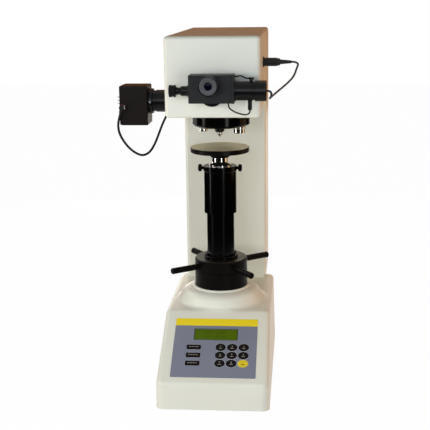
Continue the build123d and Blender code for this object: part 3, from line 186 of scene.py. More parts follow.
# ---- finishes ---------------------------------------------------------------------------
@dataclass(frozen=True)
class Finish:
    """A surface finish: its colour, its gloss and the fine relief that its making leaves.

    Attributes:
        name: What the material is and how its surface was made.
        colour: The body colour, as sRGB hex.
        shade: The colour of its slow variation, as sRGB hex.
        roughness: Micro roughness of the surface.
        metallic: 1 for bare metal, 0 for paint and plastic.
        patch: Size of the slow variation.
        grain: Size of the fine relief.
        relief: Depth of the fine relief.
        stretch: How much longer the grain is along X, Y and Z, for brushed metal.
        specular: Specular level, 0.5 for most paints and plastics.
    """

    name: str
    colour: str
    shade: str
    roughness: float
    metallic: float = 0.0
    patch: float = 60.0
    grain: float = 1.0
    relief: float = 0.02
    stretch: Point = (1.0, 1.0, 1.0)
    specular: float = 0.5

    def material(self) -> bpy.types.Material:
        """Build the material, or find the one built before.

        Returns:
            The material.
        """
        known = bpy.data.materials.get(self.name)
        if known is not None:
            return known
        material = blank_material(self.name)
        place = add_node(material.node_tree, "ShaderNodeTexCoord").outputs["Object"]
        self.shader(material.node_tree, place)
        return material

    def noise(
        self, tree: bpy.types.NodeTree, place: bpy.types.NodeSocket, size: float
    ) -> bpy.types.NodeSocket:
        """Add noise of one size in millimetres, and give its value."""
        inputs = {"Vector": place, "Scale": 1 / (size * MM), "Detail": NOISE_DETAIL}
        return add_node(tree, "ShaderNodeTexNoise", inputs).outputs["Fac"]

    def blend(
        self,
        tree: bpy.types.NodeTree,
        factor: bpy.types.NodeSocket,
        first: Any,
        second: Any,
    ) -> bpy.types.NodeSocket:
        """Mix two colours by a factor, and give the colour. Inputs 6 and 7 take the colours."""
        inputs = {"Factor": factor, 6: first, 7: second}
        return add_node(tree, "ShaderNodeMix", inputs, data_type="RGBA").outputs[2]

    def shader(
        self, tree: bpy.types.NodeTree, place: bpy.types.NodeSocket
    ) -> bpy.types.Node:
        """Fill a node tree with this finish.

        Args:
            tree: An empty material node tree.
            place: Object coordinates.

        Returns:
            The Principled node, so that a finer finish can add to it.
        """
        tone = self.blend(
            tree, self.noise(tree, place, self.patch), linear(self.colour), linear(self.shade)
        )
        spread = add_node(
            tree, "ShaderNodeMapping",
            {"Vector": place, "Scale": tuple(1 / each for each in self.stretch)},
        )
        fine = self.noise(tree, spread.outputs["Vector"], self.grain)
        gloss = add_node(
            tree, "ShaderNodeMapRange",
            {"Value": fine, "To Min": self.roughness * (1 - GLOSS_SWING),
             "To Max": min(1.0, self.roughness * (1 + GLOSS_SWING))},
        )
        bump = add_node(tree, "ShaderNodeBump", {"Height": fine, "Distance": self.relief * MM})
        body = add_node(
            tree, "ShaderNodeBsdfPrincipled",
            {"Base Color": tone, "Roughness": gloss.outputs["Result"],
             "Metallic": self.metallic, "Specular IOR Level": self.specular,
             "Normal": bump.outputs["Normal"]},
        )
        add_node(tree, "ShaderNodeOutputMaterial", {"Surface": body.outputs["BSDF"]})
        return body


@dataclass(frozen=True)
class GroundTop(Finish):
    """A blackened piece whose top face is ground bright.

    Attributes:
        level: Height in the row frame above which the face is bright, in metres.
        bright: Colour of the ground face, as sRGB hex.
        bright_roughness: Roughness of the ground face.
    """

    level: float = 0.0
    bright: str = "#B9B5A2"
    bright_roughness: float = 0.34

    def shader(
        self, tree: bpy.types.NodeTree, place: bpy.types.NodeSocket
    ) -> bpy.types.Node:
        """Add the bright top to the plain finish.

        Args:
            tree: An empty material node tree.
            place: Object coordinates.

        Returns:
            The Principled node.
        """
        body = super().shader(tree, place)
        height = add_node(tree, "ShaderNodeSeparateXYZ", {"Vector": place}).outputs["Z"]
        mask = add_node(
            tree, "ShaderNodeMath", {0: height, 1: self.level}, operation="GREATER_THAN"
        ).outputs["Value"]
        dark = body.inputs["Base Color"].links[0].from_socket
        gloss = body.inputs["Roughness"].links[0].from_socket
        tone = self.blend(tree, mask, dark, linear(self.bright))
        tree.links.new(tone, body.inputs["Base Color"])
        roughness = add_node(
            tree, "ShaderNodeMix", {"Factor": mask, "A": gloss, "B": self.bright_roughness}
        )
        tree.links.new(roughness.outputs[0], body.inputs["Roughness"])
        tree.links.new(mask, body.inputs["Metallic"])
        return body


@dataclass(frozen=True)
class PrintedFilm(Finish):
    """The keypad's film: slate printed from behind, with a yellow strip along its top.

    Attributes:
        strip: Colour of the strip, as sRGB hex.
        origin: Middle of the panel's sharp top edge in the row frame, in metres.
        slope: The panel's angle above the horizontal, in radians.
        strip_down: How far down the panel the strip ends.
    """

    strip: str = "#EFD91C"
    origin: Point = (0.0, 0.0, 0.0)
    slope: float = 0.0
    strip_down: float = 36.5

    def shader(
        self, tree: bpy.types.NodeTree, place: bpy.types.NodeSocket
    ) -> bpy.types.Node:
        """Add the strip to the plain finish.

        Args:
            tree: An empty material node tree.
            place: Object coordinates.

        Returns:
            The Principled node.
        """
        body = super().shader(tree, place)
        flat = add_node(
            tree, "ShaderNodeMapping",
            {"Vector": place, "Location": self.origin, "Rotation": (self.slope, 0.0, 0.0)},
            vector_type="TEXTURE",
        )
        on_panel = add_node(tree, "ShaderNodeSeparateXYZ", {"Vector": flat.outputs["Vector"]})
        mask = add_node(
            tree, "ShaderNodeMath", {0: on_panel.outputs["Y"], 1: -self.strip_down * MM},
            operation="GREATER_THAN",
        ).outputs["Value"]
        slate = body.inputs["Base Color"].links[0].from_socket
        tone = self.blend(tree, mask, slate, linear(self.strip))
        tree.links.new(tone, body.inputs["Base Color"])
        return body


# Stoved enamel on a filled casting: smooth and satin, with faint long waves in the filler.
CAST_ENAMEL = Finish(
    "stoved_enamel_on_casting", "#E4E8DC", "#DEE1D3", 0.38, patch=85.0, grain=2.2, relief=0.012
)
# The same enamel on bent sheet steel: fine orange peel and a flatter surface.
SHEET_ENAMEL = Finish(
    "stoved_enamel_on_sheet", "#E4E8DC", "#DFE2D4", 0.36, patch=120.0, grain=1.4, relief=0.01
)
# Black gloss enamel on drawn tube: near mirror, deep black.
GLOSS_BLACK = Finish(
    "black_gloss_enamel", "#030202", "#040303", 0.14, patch=40.0, grain=3.0, relief=0.006,
    specular=0.08,
)
# Hot blackened turned steel: a soft brownish black with turning marks round the axis.
BLACK_OXIDE = Finish(
    "black_oxide_turned_steel", "#080605", "#0C0907", 0.36, patch=25.0, grain=0.5, relief=0.008,
    stretch=(8.0, 8.0, 0.6), specular=0.05,
)
# Hard black anodised aluminium, bead blasted: matt charcoal with a fine even tooth.
BLACK_ANODISED = Finish(
    "black_anodised_blasted_aluminium", "#1B1C1C", "#202121", 0.44, patch=18.0, grain=0.35,
    relief=0.012, specular=0.14,
)
# Satin turned grey ring in the dioptre ring's face: its grey is painted light that stands for light
# falling on the matt face. It is broken up by marks of about 2.5 mm.
LIT_FACE_GREY = Finish(
    "grey_ring_with_painted_light", "#4A4B4D", "#37383A", 0.4, patch=2.5, grain=0.3, relief=0.006,
    specular=0.3,
)
# Black anodised aluminium, turned smooth: darker and glossier than the blasted one.
BLACK_TURNED = Finish(
    "black_anodised_turned_aluminium", "#080808", "#0C0B0B", 0.26, patch=20.0, grain=0.5,
    relief=0.008, specular=0.14,
)
# Crackle-free black paint on the camera's die-cast body: brownish black, satin.
CAMERA_PAINT = Finish(
    "black_satin_paint_on_diecasting", "#120C0B", "#17110F", 0.42, patch=20.0, grain=0.6,
    relief=0.02, specular=0.1,
)
# Polished hard chrome on turned steel: a clean mirror.
HARD_CHROME = Finish(
    "polished_hard_chrome", "#D9D8D4", "#CFCDC8", 0.09, metallic=1.0, patch=30.0, grain=0.6,
    relief=0.003,
)
# Fine turned steel: a silvery metal whose turning softens what it mirrors.
TURNED_STEEL = Finish(
    "fine_turned_steel", "#B6B3AC", "#A5A29A", 0.24, metallic=1.0, patch=12.0, grain=0.3,
    relief=0.006,
)
# Zinc plated steel of screws, pins and balls: grey and a little dull.
ZINC = Finish(
    "zinc_plated_steel", "#AEB0AF", "#9A9C9B", 0.33, metallic=1.0, patch=4.0, grain=0.4,
    relief=0.01,
)
# Turned phosphor bronze: brown-gold with a satin sheen.
BRONZE = Finish(
    "turned_phosphor_bronze", "#A9793E", "#8F6533", 0.32, metallic=1.0, patch=10.0, grain=0.4,
    relief=0.01,
)
# Zinc coated sheet of the base plate: dull, with a soft spangle of 5 mm.
ZINC_SHEET = Finish(
    "zinc_coated_sheet", "#A3A6A6", "#8D9090", 0.42, metallic=1.0, patch=14.0, grain=5.0,
    relief=0.01,
)
# Moulded black nitrile rubber of the feet: dull black with hardly any gloss.
RUBBER = Finish("moulded_nitrile_rubber", "#171615", "#1F1E1C", 0.72, grain=0.8, relief=0.03)
# Injection moulded black polyamide of plugs, sockets, inlet and rocker: fine texture, satin.
POLYAMIDE = Finish(
    "moulded_black_polyamide", "#0D0C0C", "#131211", 0.4, patch=12.0, grain=0.5, relief=0.015,
    specular=0.2,
)
# Extruded PVC jacket of the leads: smooth soft black with a broad gloss.
PVC = Finish(
    "extruded_pvc_jacket", "#080707", "#0D0B0B", 0.36, patch=30.0, grain=1.5, relief=0.01,
    specular=0.25,
)
# Moulded silicone keys: matt, black or yellow through and through.
KEY_BLACK = Finish(
    "moulded_black_silicone", "#060505", "#0A0909", 0.5, patch=8.0, grain=0.4, relief=0.01,
    specular=0.1,
)
KEY_YELLOW = Finish(
    "moulded_yellow_silicone", "#E9D31F", "#DCC51A", 0.5, patch=8.0, grain=0.4, relief=0.01
)
# Screen printing ink on keys, film and rocker: flat and opaque.
PALE_INK = Finish("pale_screen_ink", "#C9CBCF", "#BFC1C6", 0.5, grain=0.3, relief=0.003)
LEGEND_INK = Finish("grey_screen_ink", "#B0A8A0", "#A69E96", 0.5, grain=0.3, relief=0.003)
# The dark ink is painted shade: a band round the display's window that stands for the shade of its
# recess.
RECESS_SHADE_INK = Finish("painted_recess_shade_ink", "#1A1F10", "#1E2413", 0.5, grain=0.3, relief=0.003)
DARK_INK = Finish("dark_screen_ink", "#3A2C0C", "#33270B", 0.5, grain=0.3, relief=0.003)
# Reflective liquid crystal cell behind clear acrylic: olive green, with darker segments.
LCD = Finish(
    "reflective_lcd_behind_acrylic", "#4E6801", "#476001", 0.3, patch=30.0, grain=0.7,
    relief=0.002, specular=0.15,
)
LCD_SEGMENT = Finish("lcd_segment_on", "#3A5005", "#374C05", 0.4, relief=0.001, specular=0.15)
# Green solder mask over glass fibre: a satin green lacquer.
BOARD = Finish("green_solder_mask", "#1D5A36", "#184D2E", 0.35, patch=6.0, grain=0.8, relief=0.02)
# Coated eyepiece lens: dark from the front, with a violet bloom.
LENS = Finish(
    "bloomed_lens", "#030310", "#08061E", 0.12, patch=6.0, relief=0.0, specular=0.04,
)
# Red anodised aluminium collar of the video plug: a dark red-brown.
RED_COLLAR = Finish("red_anodised_collar", "#6A2418", "#5C1E14", 0.35, grain=0.4, relief=0.01)


# ---- shapes worked out from formulas ------------------------------------------------------
def soften(corners: Profile, radius: float, steps: int = 4) -> np.ndarray:
    """Round the corners of a profile.

    Each inner corner C becomes the curve (1-t)(1-t)A + 2t(1-t)C + ttB, where A and B lie
    the radius before and after it, or less where a side is short.

    Args:
        corners: The profile's (radius, height) corners, in order.
        radius: How far from each corner the rounding starts.
        steps: Points on each rounding, less one.

    Returns:
        An array of (radius, height) points.
    """
    points = np.array(corners, float)
    before = points[:-2] - points[1:-1]
    after = points[2:] - points[1:-1]
    reach_before = np.linalg.norm(before, axis=1, keepdims=True)
    reach_after = np.linalg.norm(after, axis=1, keepdims=True)
    cut_before = np.minimum(radius, CORNER_SHARE * reach_before)
    cut_after = np.minimum(radius, CORNER_SHARE * reach_after)
    start = points[1:-1] + before / reach_before * cut_before
    end = points[1:-1] + after / reach_after * cut_after
    t = np.linspace(0, 1, steps + 1)[None, :, None]
    curves = (
        (1 - t) ** 2 * start[:, None] + 2 * t * (1 - t) * points[1:-1][:, None]
        + t ** 2 * end[:, None]
    )
    return np.vstack([points[:1], curves.reshape(-1, 2), points[-1:]])


def basis(direction: Sequence[float]) -> tuple[np.ndarray, np.ndarray, np.ndarray]:
    """Give two unit vectors across a direction, and its own unit vector.

    Args:
        direction: The direction, of any length.

    Returns:
        Two vectors that stand square to it and to each other, and the direction.
    """
    way = np.array(direction, float)
    way /= np.linalg.norm(way)
    steep = 0.9
    helper = np.array([0.0, 0.0, 1.0]) if abs(way[2]) < steep else np.array([1.0, 0.0, 0.0])
    across = np.cross(helper, way)
    across /= np.linalg.norm(across)
    return across, np.cross(way, across), way


def surface(
    name: str, points: np.ndarray, closed: bool = True, sharp: float = SHARP
) -> bpy.types.Object:
    """Make an object from a grid of points, with quads between neighbours.

    Args:
        name: The piece's name.
        points: Array of rows, columns and XYZ, in metres in the row frame.
        closed: Whether the last column meets the first.
        sharp: Angle in degrees past which an edge is sharp.

    Returns:
        The object, at the origin.
    """
    rows, columns = points.shape[:2]
    index = np.arange(rows * columns).reshape(rows, columns)
    right = np.roll(index, -1, axis=1) if closed else index[:, 1:]
    left = index if closed else index[:, :-1]
    quads = np.stack([left[:-1], right[:-1], right[1:], left[1:]], axis=-1).reshape(-1, 4)
    mesh = bpy.data.meshes.new(name)
    mesh.from_pydata(points.reshape(-1, 3).tolist(), [], quads.tolist())
    return finished(name, mesh, sharp)


def finished(name: str, mesh: bpy.types.Mesh, sharp: float) -> bpy.types.Object:
    """Merge a mesh's doubles, point its faces outwards, smooth it and link it as an object.

    Args:
        name: The piece's name.
        mesh: Its mesh.
        sharp: Angle in degrees past which an edge is sharp.

    Returns:
        The object, at the origin.
    """
    shape = bmesh.new()
    shape.from_mesh(mesh)
    bmesh.ops.remove_doubles(shape, verts=shape.verts, dist=MERGED)
    bmesh.ops.dissolve_degenerate(shape, edges=shape.edges, dist=SLIVER)
    bmesh.ops.recalc_face_normals(shape, faces=shape.faces)
    shape.to_mesh(mesh)
    shape.free()
    mesh.shade_smooth()
    mesh.set_sharp_from_angle(angle=math.radians(sharp))
    piece = bpy.data.objects.new(name, mesh)
    bpy.context.scene.collection.objects.link(piece)
    return piece


Ripple = Callable[[np.ndarray, np.ndarray, np.ndarray], np.ndarray]


def faded(height: np.ndarray, low: float, high: float) -> np.ndarray:
    """Give 1 between two heights and 0 outside them, rising from each over the fade's length."""
    return np.clip((height - low) / FADE, 0, 1) * np.clip((high - height) / FADE, 0, 1)


def flutes(count: int, depth: float, low: float, high: float) -> Ripple:
    """Give a ripple of straight flutes between two heights.

    The radius drops by depth times (1 - cos(count * angle)) / 2, faded at both heights.

    Args:
        count: Number of flutes round the piece.
        depth: Their depth.
        low: Height where they start.
        high: Height where they end.

    Returns:
        A function of radius, height and angle.
    """
    def ripple(radius: np.ndarray, height: np.ndarray, angle: np.ndarray) -> np.ndarray:
        """Give the change of radius at each height and angle."""
        return -depth * faded(height, low, high) * (1 - np.cos(count * angle)) / 2

    return ripple


def knurl(count: int, depth: float, low: float, high: float, pitch: float) -> Ripple:
    """Give a diamond knurl between two heights, cut by two crossing sets of grooves.

    With u, v = count * angle / 2 +- pi * height / pitch, the radius drops by
    depth * (1 - min(abs(sin u), abs(sin v))), faded at both heights.

    Args:
        count: Number of diamonds round the piece.
        depth: Depth of the grooves.
        low: Height where the knurl starts.
        high: Height where it ends.
        pitch: Length of one diamond along the axis.

    Returns:
        A function of radius, height and angle.
    """
    def ripple(radius: np.ndarray, height: np.ndarray, angle: np.ndarray) -> np.ndarray:
        """Give the change of radius at each height and angle."""
        first = np.abs(np.sin(count * angle / 2 + np.pi * height / pitch))
        second = np.abs(np.sin(count * angle / 2 - np.pi * height / pitch))
        return -depth * faded(height, low, high) * (1 - np.minimum(first, second))

    return ripple


def hexagon(radius_at: float) -> Ripple:
    """Turn the circle of one radius in a profile into a hexagon with that inner radius.

    The radius becomes r / cos(d), where d is the angle from the nearest flat's middle.

    Args:
        radius_at: The radius in the profile that is a socket's wall.

    Returns:
        A function of radius, height and angle.
    """
    def ripple(radius: np.ndarray, height: np.ndarray, angle: np.ndarray) -> np.ndarray:
        """Give the change of radius at each height and angle."""
        sixth = math.pi / 3
        off = np.mod(angle + sixth / 2, sixth) - sixth / 2
        return np.where(np.isclose(radius, radius_at), radius_at * (1 / np.cos(off) - 1), 0.0)

    return ripple


def run(radius: float, low: float, high: float, step: float = 0.2) -> list[tuple[float, float]]:
    """Give profile points up a straight wall, close enough together for a knurl."""
    count = max(2, round((high - low) / step) + 1)
    return [(radius, float(height)) for height in np.linspace(low, high, count)]


def turned(
    name: str,
    place: Placing,
    profile: np.ndarray,
    origin: Point,
    direction: Sequence[float],
    columns: int = 96,
    ripples: Sequence[Ripple] = (),
) -> bpy.types.Object:
    """Make a turned piece: a profile carried round an axis.

    The point at angle a and profile step s is origin + h(s) axis + r(s) (cos a U + sin a V).

    Args:
        name: The piece's name.
        place: Where the tester stands.
        profile: Array of (radius, height) points, from the axis to the axis or in a closed ring.
        origin: Where the axis starts, in millimetres.
        direction: The axis.
        columns: Points round the piece.
        ripples: Functions that add flutes or knurls to the radius.

    Returns:
        The object.
    """
    first, second, way = basis(direction)
    angle = np.linspace(0, 2 * np.pi, columns, endpoint=False)[None, :]
    bare, height = profile[:, :1], profile[:, 1:]
    radius = np.repeat(bare, columns, axis=1)
    for ripple in ripples:
        radius = radius + ripple(bare, height, angle) * (bare > 0)
    around = np.cos(angle)[..., None] * first + np.sin(angle)[..., None] * second
    points = np.array(origin) + height[..., None] * way + radius[..., None] * around
    return surface(name, place.all_at(points))


def bar(
    name: str, place: Placing, centre: Sequence[float], sizes: Point,
    out: Sequence[float] = (0.0, 0.0, 1.0),
) -> bpy.types.Object:
    """Make a plain bar.

    Args:
        name: The piece's name.
        place: Where the tester stands.
        centre: Its middle.
        sizes: Its size along X, up the face and out of the face.
        out: The way out of the face that it lies on.

    Returns:
        The object.
    """
    way = np.array(out, float) / np.linalg.norm(out)
    side = np.array([1.0, 0.0, 0.0])
    up = np.cross(way, side)
    square = np.array([(0, 0), (-1, -1), (1, -1), (1, 1), (-1, 1)]) / 2
    flat = square[:, :1] * sizes[0] * side + square[:, 1:] * sizes[1] * up
    middle, corners = flat[[0, 0, 0, 0]], flat[1:]
    rows = [
        np.array(centre) + ring + share * sizes[2] * way
        for share, ring in ((-0.5, middle), (-0.5, corners), (0.5, corners), (0.5, middle))
    ]
    return surface(name, place.all_at(np.array(rows)))


def bar_on(
    name: str, panel: Panel, centre: tuple[float, float], size: tuple[float, float],
    out: float, thick: float,
) -> bpy.types.Object:
    """Make a thin printed bar on the panel.

    Args:
        name: The piece's name.
        panel: The keypad panel.
        centre: Its middle, across and down the panel.
        size: Its size across and down.
        out: Height of its underside above the panel.
        thick: Its thickness.

    Returns:
        The object.
    """
    corners = np.array([(-1, -1), (1, -1), (1, 1), (-1, 1)]) * np.array(size) / 2
    rows = []
    for spread, height in ((0, out), (1, out), (1, out + thick), (0, out + thick)):
        flat = np.array(centre) + corners * spread
        rows.append(panel.lay(flat[:, 0], flat[:, 1], np.full(4, height)))
    return surface(name, np.array(rows))


def gathered(name: str, parts: Sequence[bpy.types.Object]) -> bpy.types.Object:
    """Make one object of several, and take those away.

    Args:
        name: The piece's name.
        parts: The objects that it is made of.

    Returns:
        The object, at the origin.
    """
    shape = bmesh.new()
    for part in parts:
        shape.from_mesh(part.data)
        bpy.data.objects.remove(part)
    mesh = bpy.data.meshes.new(name)
    shape.to_mesh(mesh)
    shape.free()
    return finished(name, mesh, SHARP)


@dataclass
class Panel:
    """The sloping keypad panel: X across it, down from its sharp top edge, out of it.

    Attributes:
        place: Where the tester stands.
        front_y: Where the panel would meet the shelf.
        top_z: The shelf's height.
        fascia_y: Where the panel would meet the fascia.
        fascia_z: The fascia's height there.
    """

    place: Placing
    front_y: float = -82.0
    top_z: float = 150.0
    fascia_y: float = -223.0
    fascia_z: float = 62.0

    @property
    def slope(self) -> float:
        """The panel's angle above the horizontal, in radians."""
        return math.atan2(self.top_z - self.fascia_z, self.front_y - self.fascia_y)

    @property
    def origin(self) -> Point:
        """The middle of the sharp top edge in the row frame, in metres."""
        return tuple(self.place.at((0.0, self.front_y, self.top_z)))

    def lay(self, across: np.ndarray, down: np.ndarray, out: np.ndarray) -> np.ndarray:
        """Lay points on the panel.

        The point is the edge's middle + X across - (cos a, sin a) down + (-sin a, cos a) out
        in Y and Z, where a is the slope.

        Args:
            across: Distances along X.
            down: Distances down the panel.
            out: Heights above the panel.

        Returns:
            An array of points in the row frame, in metres.
        """
        cos, sin = math.cos(self.slope), math.sin(self.slope)
        points = np.stack(
            [
                across,
                self.front_y - cos * down - sin * out,
                self.top_z - sin * down + cos * out,
            ],
            axis=-1,
        )
        return self.place.all_at(points)


def ring_slab(
    name: str, panel: Panel, outline: np.ndarray, centre: tuple[float, float],
    out: float, width: float, thick: float,
) -> bpy.types.Object:
    """Make a thin printed ring on the panel that follows a closed outline.

    The section is a rectangle, width by thick, carried round the outline and scaled from its
    middle.

    Args:
        name: The piece's name.
        panel: The keypad panel.
        outline: Array of (across, down) points round the origin.
        centre: The ring's middle on the panel.
        out: Height of its underside above the panel.
        width: The ring's width.
        thick: The ring's thickness.

    Returns:
        The object.
    """
    reach = np.linalg.norm(outline, axis=1, keepdims=True)
    outer = outline * (1 + width / reach)
    loops = [outline, outer, outer, outline, outline]
    heights = [out, out, out + thick, out + thick, out]
    rows = [
        panel.lay(loop[:, 0] + centre[0], loop[:, 1] + centre[1], np.full(len(loop), height))
        for loop, height in zip(loops, heights)
    ]
    return surface(name, np.array(rows), sharp=PRINT_SHARP)


def glyphs(
    name: str, panel: Panel, text: str, height: float, centre: tuple[float, float],
    out: float, thick: float,
) -> bpy.types.Object:
    """Make plain numbers or a sign as a thin printed piece on the panel.

    Args:
        name: The piece's name.
        panel: The keypad panel.
        text: The characters.
        height: Their height.
        centre: Their middle on the panel.
        out: Height of their underside above the panel.
        thick: Their thickness.

    Returns:
        The object.
    """
    curve = bpy.data.curves.new(name, "FONT")
    curve.body = text
    curve.align_x = "CENTER"
    curve.align_y = "CENTER"
    curve.size = height / CAP_HEIGHT
    curve.extrude = thick / 2
    curve.resolution_u = 3
    source = bpy.data.objects.new(name + "_text", curve)
    bpy.context.scene.collection.objects.link(source)
    bpy.context.view_layer.update()
    mesh = bpy.data.meshes.new_from_object(source)
    bpy.data.objects.remove(source)
    flat = np.zeros(len(mesh.vertices) * 3)
    mesh.vertices.foreach_get("co", flat)
    flat = flat.reshape(-1, 3)
    laid = panel.lay(centre[0] + flat[:, 0], centre[1] - flat[:, 1], out + thick / 2 + flat[:, 2])
    mesh.vertices.foreach_set("co", laid.ravel())
    return finished(name, mesh, PRINT_SHARP)


# ---- building and dressing ----------------------------------------------------------------
@dataclass
class Assembly:
    """A sub-assembly of the tester: the base of every class below.

    Attributes:
        place: Where the tester stands.
        nodes: The CAD nodes by name.
    """

    place: Placing
    nodes: dict[str, bpy.types.Object]

    def dress(self, finish: Finish, *names: str) -> None:
        """Give CAD nodes a finish.

        Args:
            finish: The finish.
            *names: The nodes' names.
        """
        for name in names:
            mesh = self.nodes[name].data
            mesh.materials.clear()
            mesh.materials.append(finish.material())
            LOG.info("node %s: %s", name, finish.name)

    def add(
        self, piece: bpy.types.Object, finish: Finish, body: Body, slot: str, *stands_for: str
    ) -> bpy.types.Object:
        """Finish a new piece and set it on its body.

        Args:
            piece: The new object.
            finish: Its finish.
            body: The body it rides on.
            slot: The record's material slot; not used.
            *stands_for: CAD nodes that it replaces.

        Returns:
            The piece.
        """
        piece.data.materials.clear()
        piece.data.materials.append(finish.material())
        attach(piece, body.value)
        if stands_for:
            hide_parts(*stands_for)
        LOG.info("piece %s on %s: %s", piece.name, body.value, finish.name)
        return piece

    def socket_heads(
        self, outline: Profile, wall: float, radius: float, places: Sequence[Point], way: Point
    ) -> list[bpy.types.Object]:
        """Turn a row of screw heads with hexagon sockets.

        Args:
            outline: The (radius, height) corners of one head.
            wall: Inner radius of the socket, which is one of those radii.
            radius: How far from each corner its rounding starts.
            places: Where each head sits.
            way: The way that the heads point.

        Returns:
            The heads, each an object of its own.
        """
        profile = soften(outline, radius)
        return [
            turned("head", self.place, profile, place, way, columns=48, ripples=[hexagon(wall)])
            for place in places
        ]

    def lathe(
        self, node: str, profile: np.ndarray, axis: tuple[Point, Sequence[float]],
        finish: Finish, body: Body, slot: str,
        columns: int = 96, ripples: Sequence[Ripple] = (),
    ) -> None:
        """Set a finer turned piece in a CAD node's place.

        Args:
            node: The CAD node.
            profile: Array of (radius, height) points.
            axis: Where the axis starts, and its direction.
            finish: The piece's finish.
            body: The body it rides on.
            slot: The record's material slot.
            columns: Points round the piece.
            ripples: Flutes or knurls.
        """
        piece = turned(f"{node}_turned", self.place, profile, *axis, columns, ripples)
        self.add(piece, finish, body, slot, node)


@dataclass
class Housings(Assembly):
    """Base, column and head, with the feet, the plate and the rear.

    Attributes:
        rear_y: The rear cover's face.
        screw_x: The rear screws' distance from the middle.
        screw_levels: Their heights.
        socket: Inner radius of the rear screws' sockets.
        pins: The inlet's three pins, across and up.
        pin_y: The middle of their length.
        pin_size: The size of a pin's sleeve.
        rocker_pivot: The rocker's pivot.
        rocker_tip: The rocker's tilt at rest, in degrees.
        rocker_slope: The slope of each of its halves, in degrees.
        rocker_half: The middle of a half, out of and up from the pivot, before the tilt.
        stroke: The size of the stroke on the rocker.
        ring: Inner and outer radius of the ring on the rocker.
        ring_thick: Thickness of the ring.
        shelf: The shelf's height.
        mound_top: The height of the mound's top.
        bend: Radius of the bend between the shelf and the sloping panel.
        bend_start: How far in front of the screw's axis the bend starts.
        slope: The panel's angle below the shelf, in radians.
    """

    rear_y: float = 279.0
    screw_x: float = 72.1
    screw_levels: tuple[float, ...] = (163.5, 323.83, 484.17, 644.5)
    socket: float = 1.25
    pins: tuple[tuple[float, float], ...] = ((-45.5, 190.0), (-38.5, 195.0), (-31.5, 190.0))
    pin_y: float = 270.3
    pin_size: Point = (2.2, 12.0, 5.2)
    rocker_pivot: Point = (-8.5, 276.6, 192.0)
    rocker_tip: float = 7.0
    rocker_slope: float = 9.9
    rocker_half: tuple[float, float] = (5.1, 5.15)
    stroke: Point = (0.7, 5.0, 0.16)
    ring: tuple[float, float] = (1.7, 2.4)
    ring_thick: float = 0.08
    shelf: float = 150.0
    mound_top: float = 178.0
    bend: float = 14.0
    bend_start: float = 78.0
    slope: float = 0.558

    def build(self) -> None:
        """Dress the housings."""
        self.dress(CAST_ENAMEL, "base_housing")
        self.dress(SHEET_ENAMEL, "column_cover", "rear_cover")
        self.dress(ZINC_SHEET, "base_plate")
        self.dress(RUBBER, "rubber_feet")
        self.dress(POLYAMIDE, "power_module", "power_switch", "side_sockets")
        self.mound()
        self.rear_screws()
        self.inlet_pins()
        for side in (-1, 1):
            self.rocker_mark(side)

    def mound(self) -> None:
        """Lay the enamelled mound round the bearing's seat: a rim, a flat and a soft shoulder."""
        rim = [(51.0, 176.0), (51.0, 177.6), (53.6, 177.6), (53.8, 175.4)]
        shoulder = [(59.5, 174.4), (66.5, 172.2), (73.0, 167.6), (77.5, 160.0), (80.8, 153.4)]
        foot = [(84.8, 151.0), (88.5, 150.2), (91.5, 149.9), (91.5, 146.0), (51.0, 146.0)]
        profile = soften(rim + shoulder + foot + rim[:1], 5.0, steps=8)
        piece = turned("mound", self.place, profile, (0, 0, 0), (0, 0, 1), columns=192)
        self.settle(piece.data)
        self.add(piece, CAST_ENAMEL, Body.FRAME, "cream_paint")

    def settle(self, mesh: bpy.types.Mesh) -> None:
        """Lower the mound's foot where the shelf bends down to the sloping panel.

        At a distance d past the bend's start the shelf has dropped by R - sqrt(R R - d d) on the
        bend, and by the slope's tangent beyond it. A point takes all of that at the foot and
        none at the mound's top.

        Args:
            mesh: The mound's mesh.
        """
        points = np.empty(len(mesh.vertices) * 3)
        mesh.vertices.foreach_get("co", points)
        points = points.reshape(-1, 3)
        place = (points - np.array(self.place.axis)) / MM
        past = np.maximum(0.0, -self.bend_start - place[:, 1])
        bent = np.minimum(past, self.bend * math.sin(self.slope))
        drop = self.bend - np.sqrt(self.bend**2 - bent**2) + (past - bent) * math.tan(self.slope)
        share = np.clip((self.mound_top - place[:, 2]) / (self.mound_top - self.shelf), 0.0, 1.0)
        points[:, 2] -= drop * share * MM
        mesh.vertices.foreach_set("co", points.reshape(-1))
        mesh.update()

    def rear_screws(self) -> None:
        """Turn the rear cover's screws, with their hexagon sockets."""
        shank = [(0, -2), (2, -2), (2, 0)]
        head = [(3.6, 0), (3.45, 1.0), (2.5, 2.2)]
        hole = [(self.socket, 2.2), (self.socket, 0.9), (0, 0.9)]
        places = [
            (side * self.screw_x, self.rear_y, level)
            for side in (-1, 1) for level in self.screw_levels
        ]
        heads = self.socket_heads(shank + head + hole, self.socket, 0.25, places, (0, 1, 0))
        self.add(
            gathered("rear_screw_heads", heads), ZINC, Body.FRAME, "screw_steel",
            "rear_cover_screws",
        )

    def inlet_pins(self) -> None:
        """Sleeve the inlet's moulded pins in nickel."""
        sleeves = [
            bar("sleeve", self.place, (x, self.pin_y, z), self.pin_size) for x, z in self.pins
        ]
        self.add(gathered("inlet_pin_sleeves", sleeves), ZINC, Body.FRAME, "black_plastic")

    def rocker_mark(self, side: int) -> None:
        """Print a stroke on the rocker's upper half, or a ring on its lower half.

        Args:
            side: 1 for the upper half, -1 for the lower one.
        """
        slope, tip = math.radians(self.rocker_slope), math.radians(self.rocker_tip)
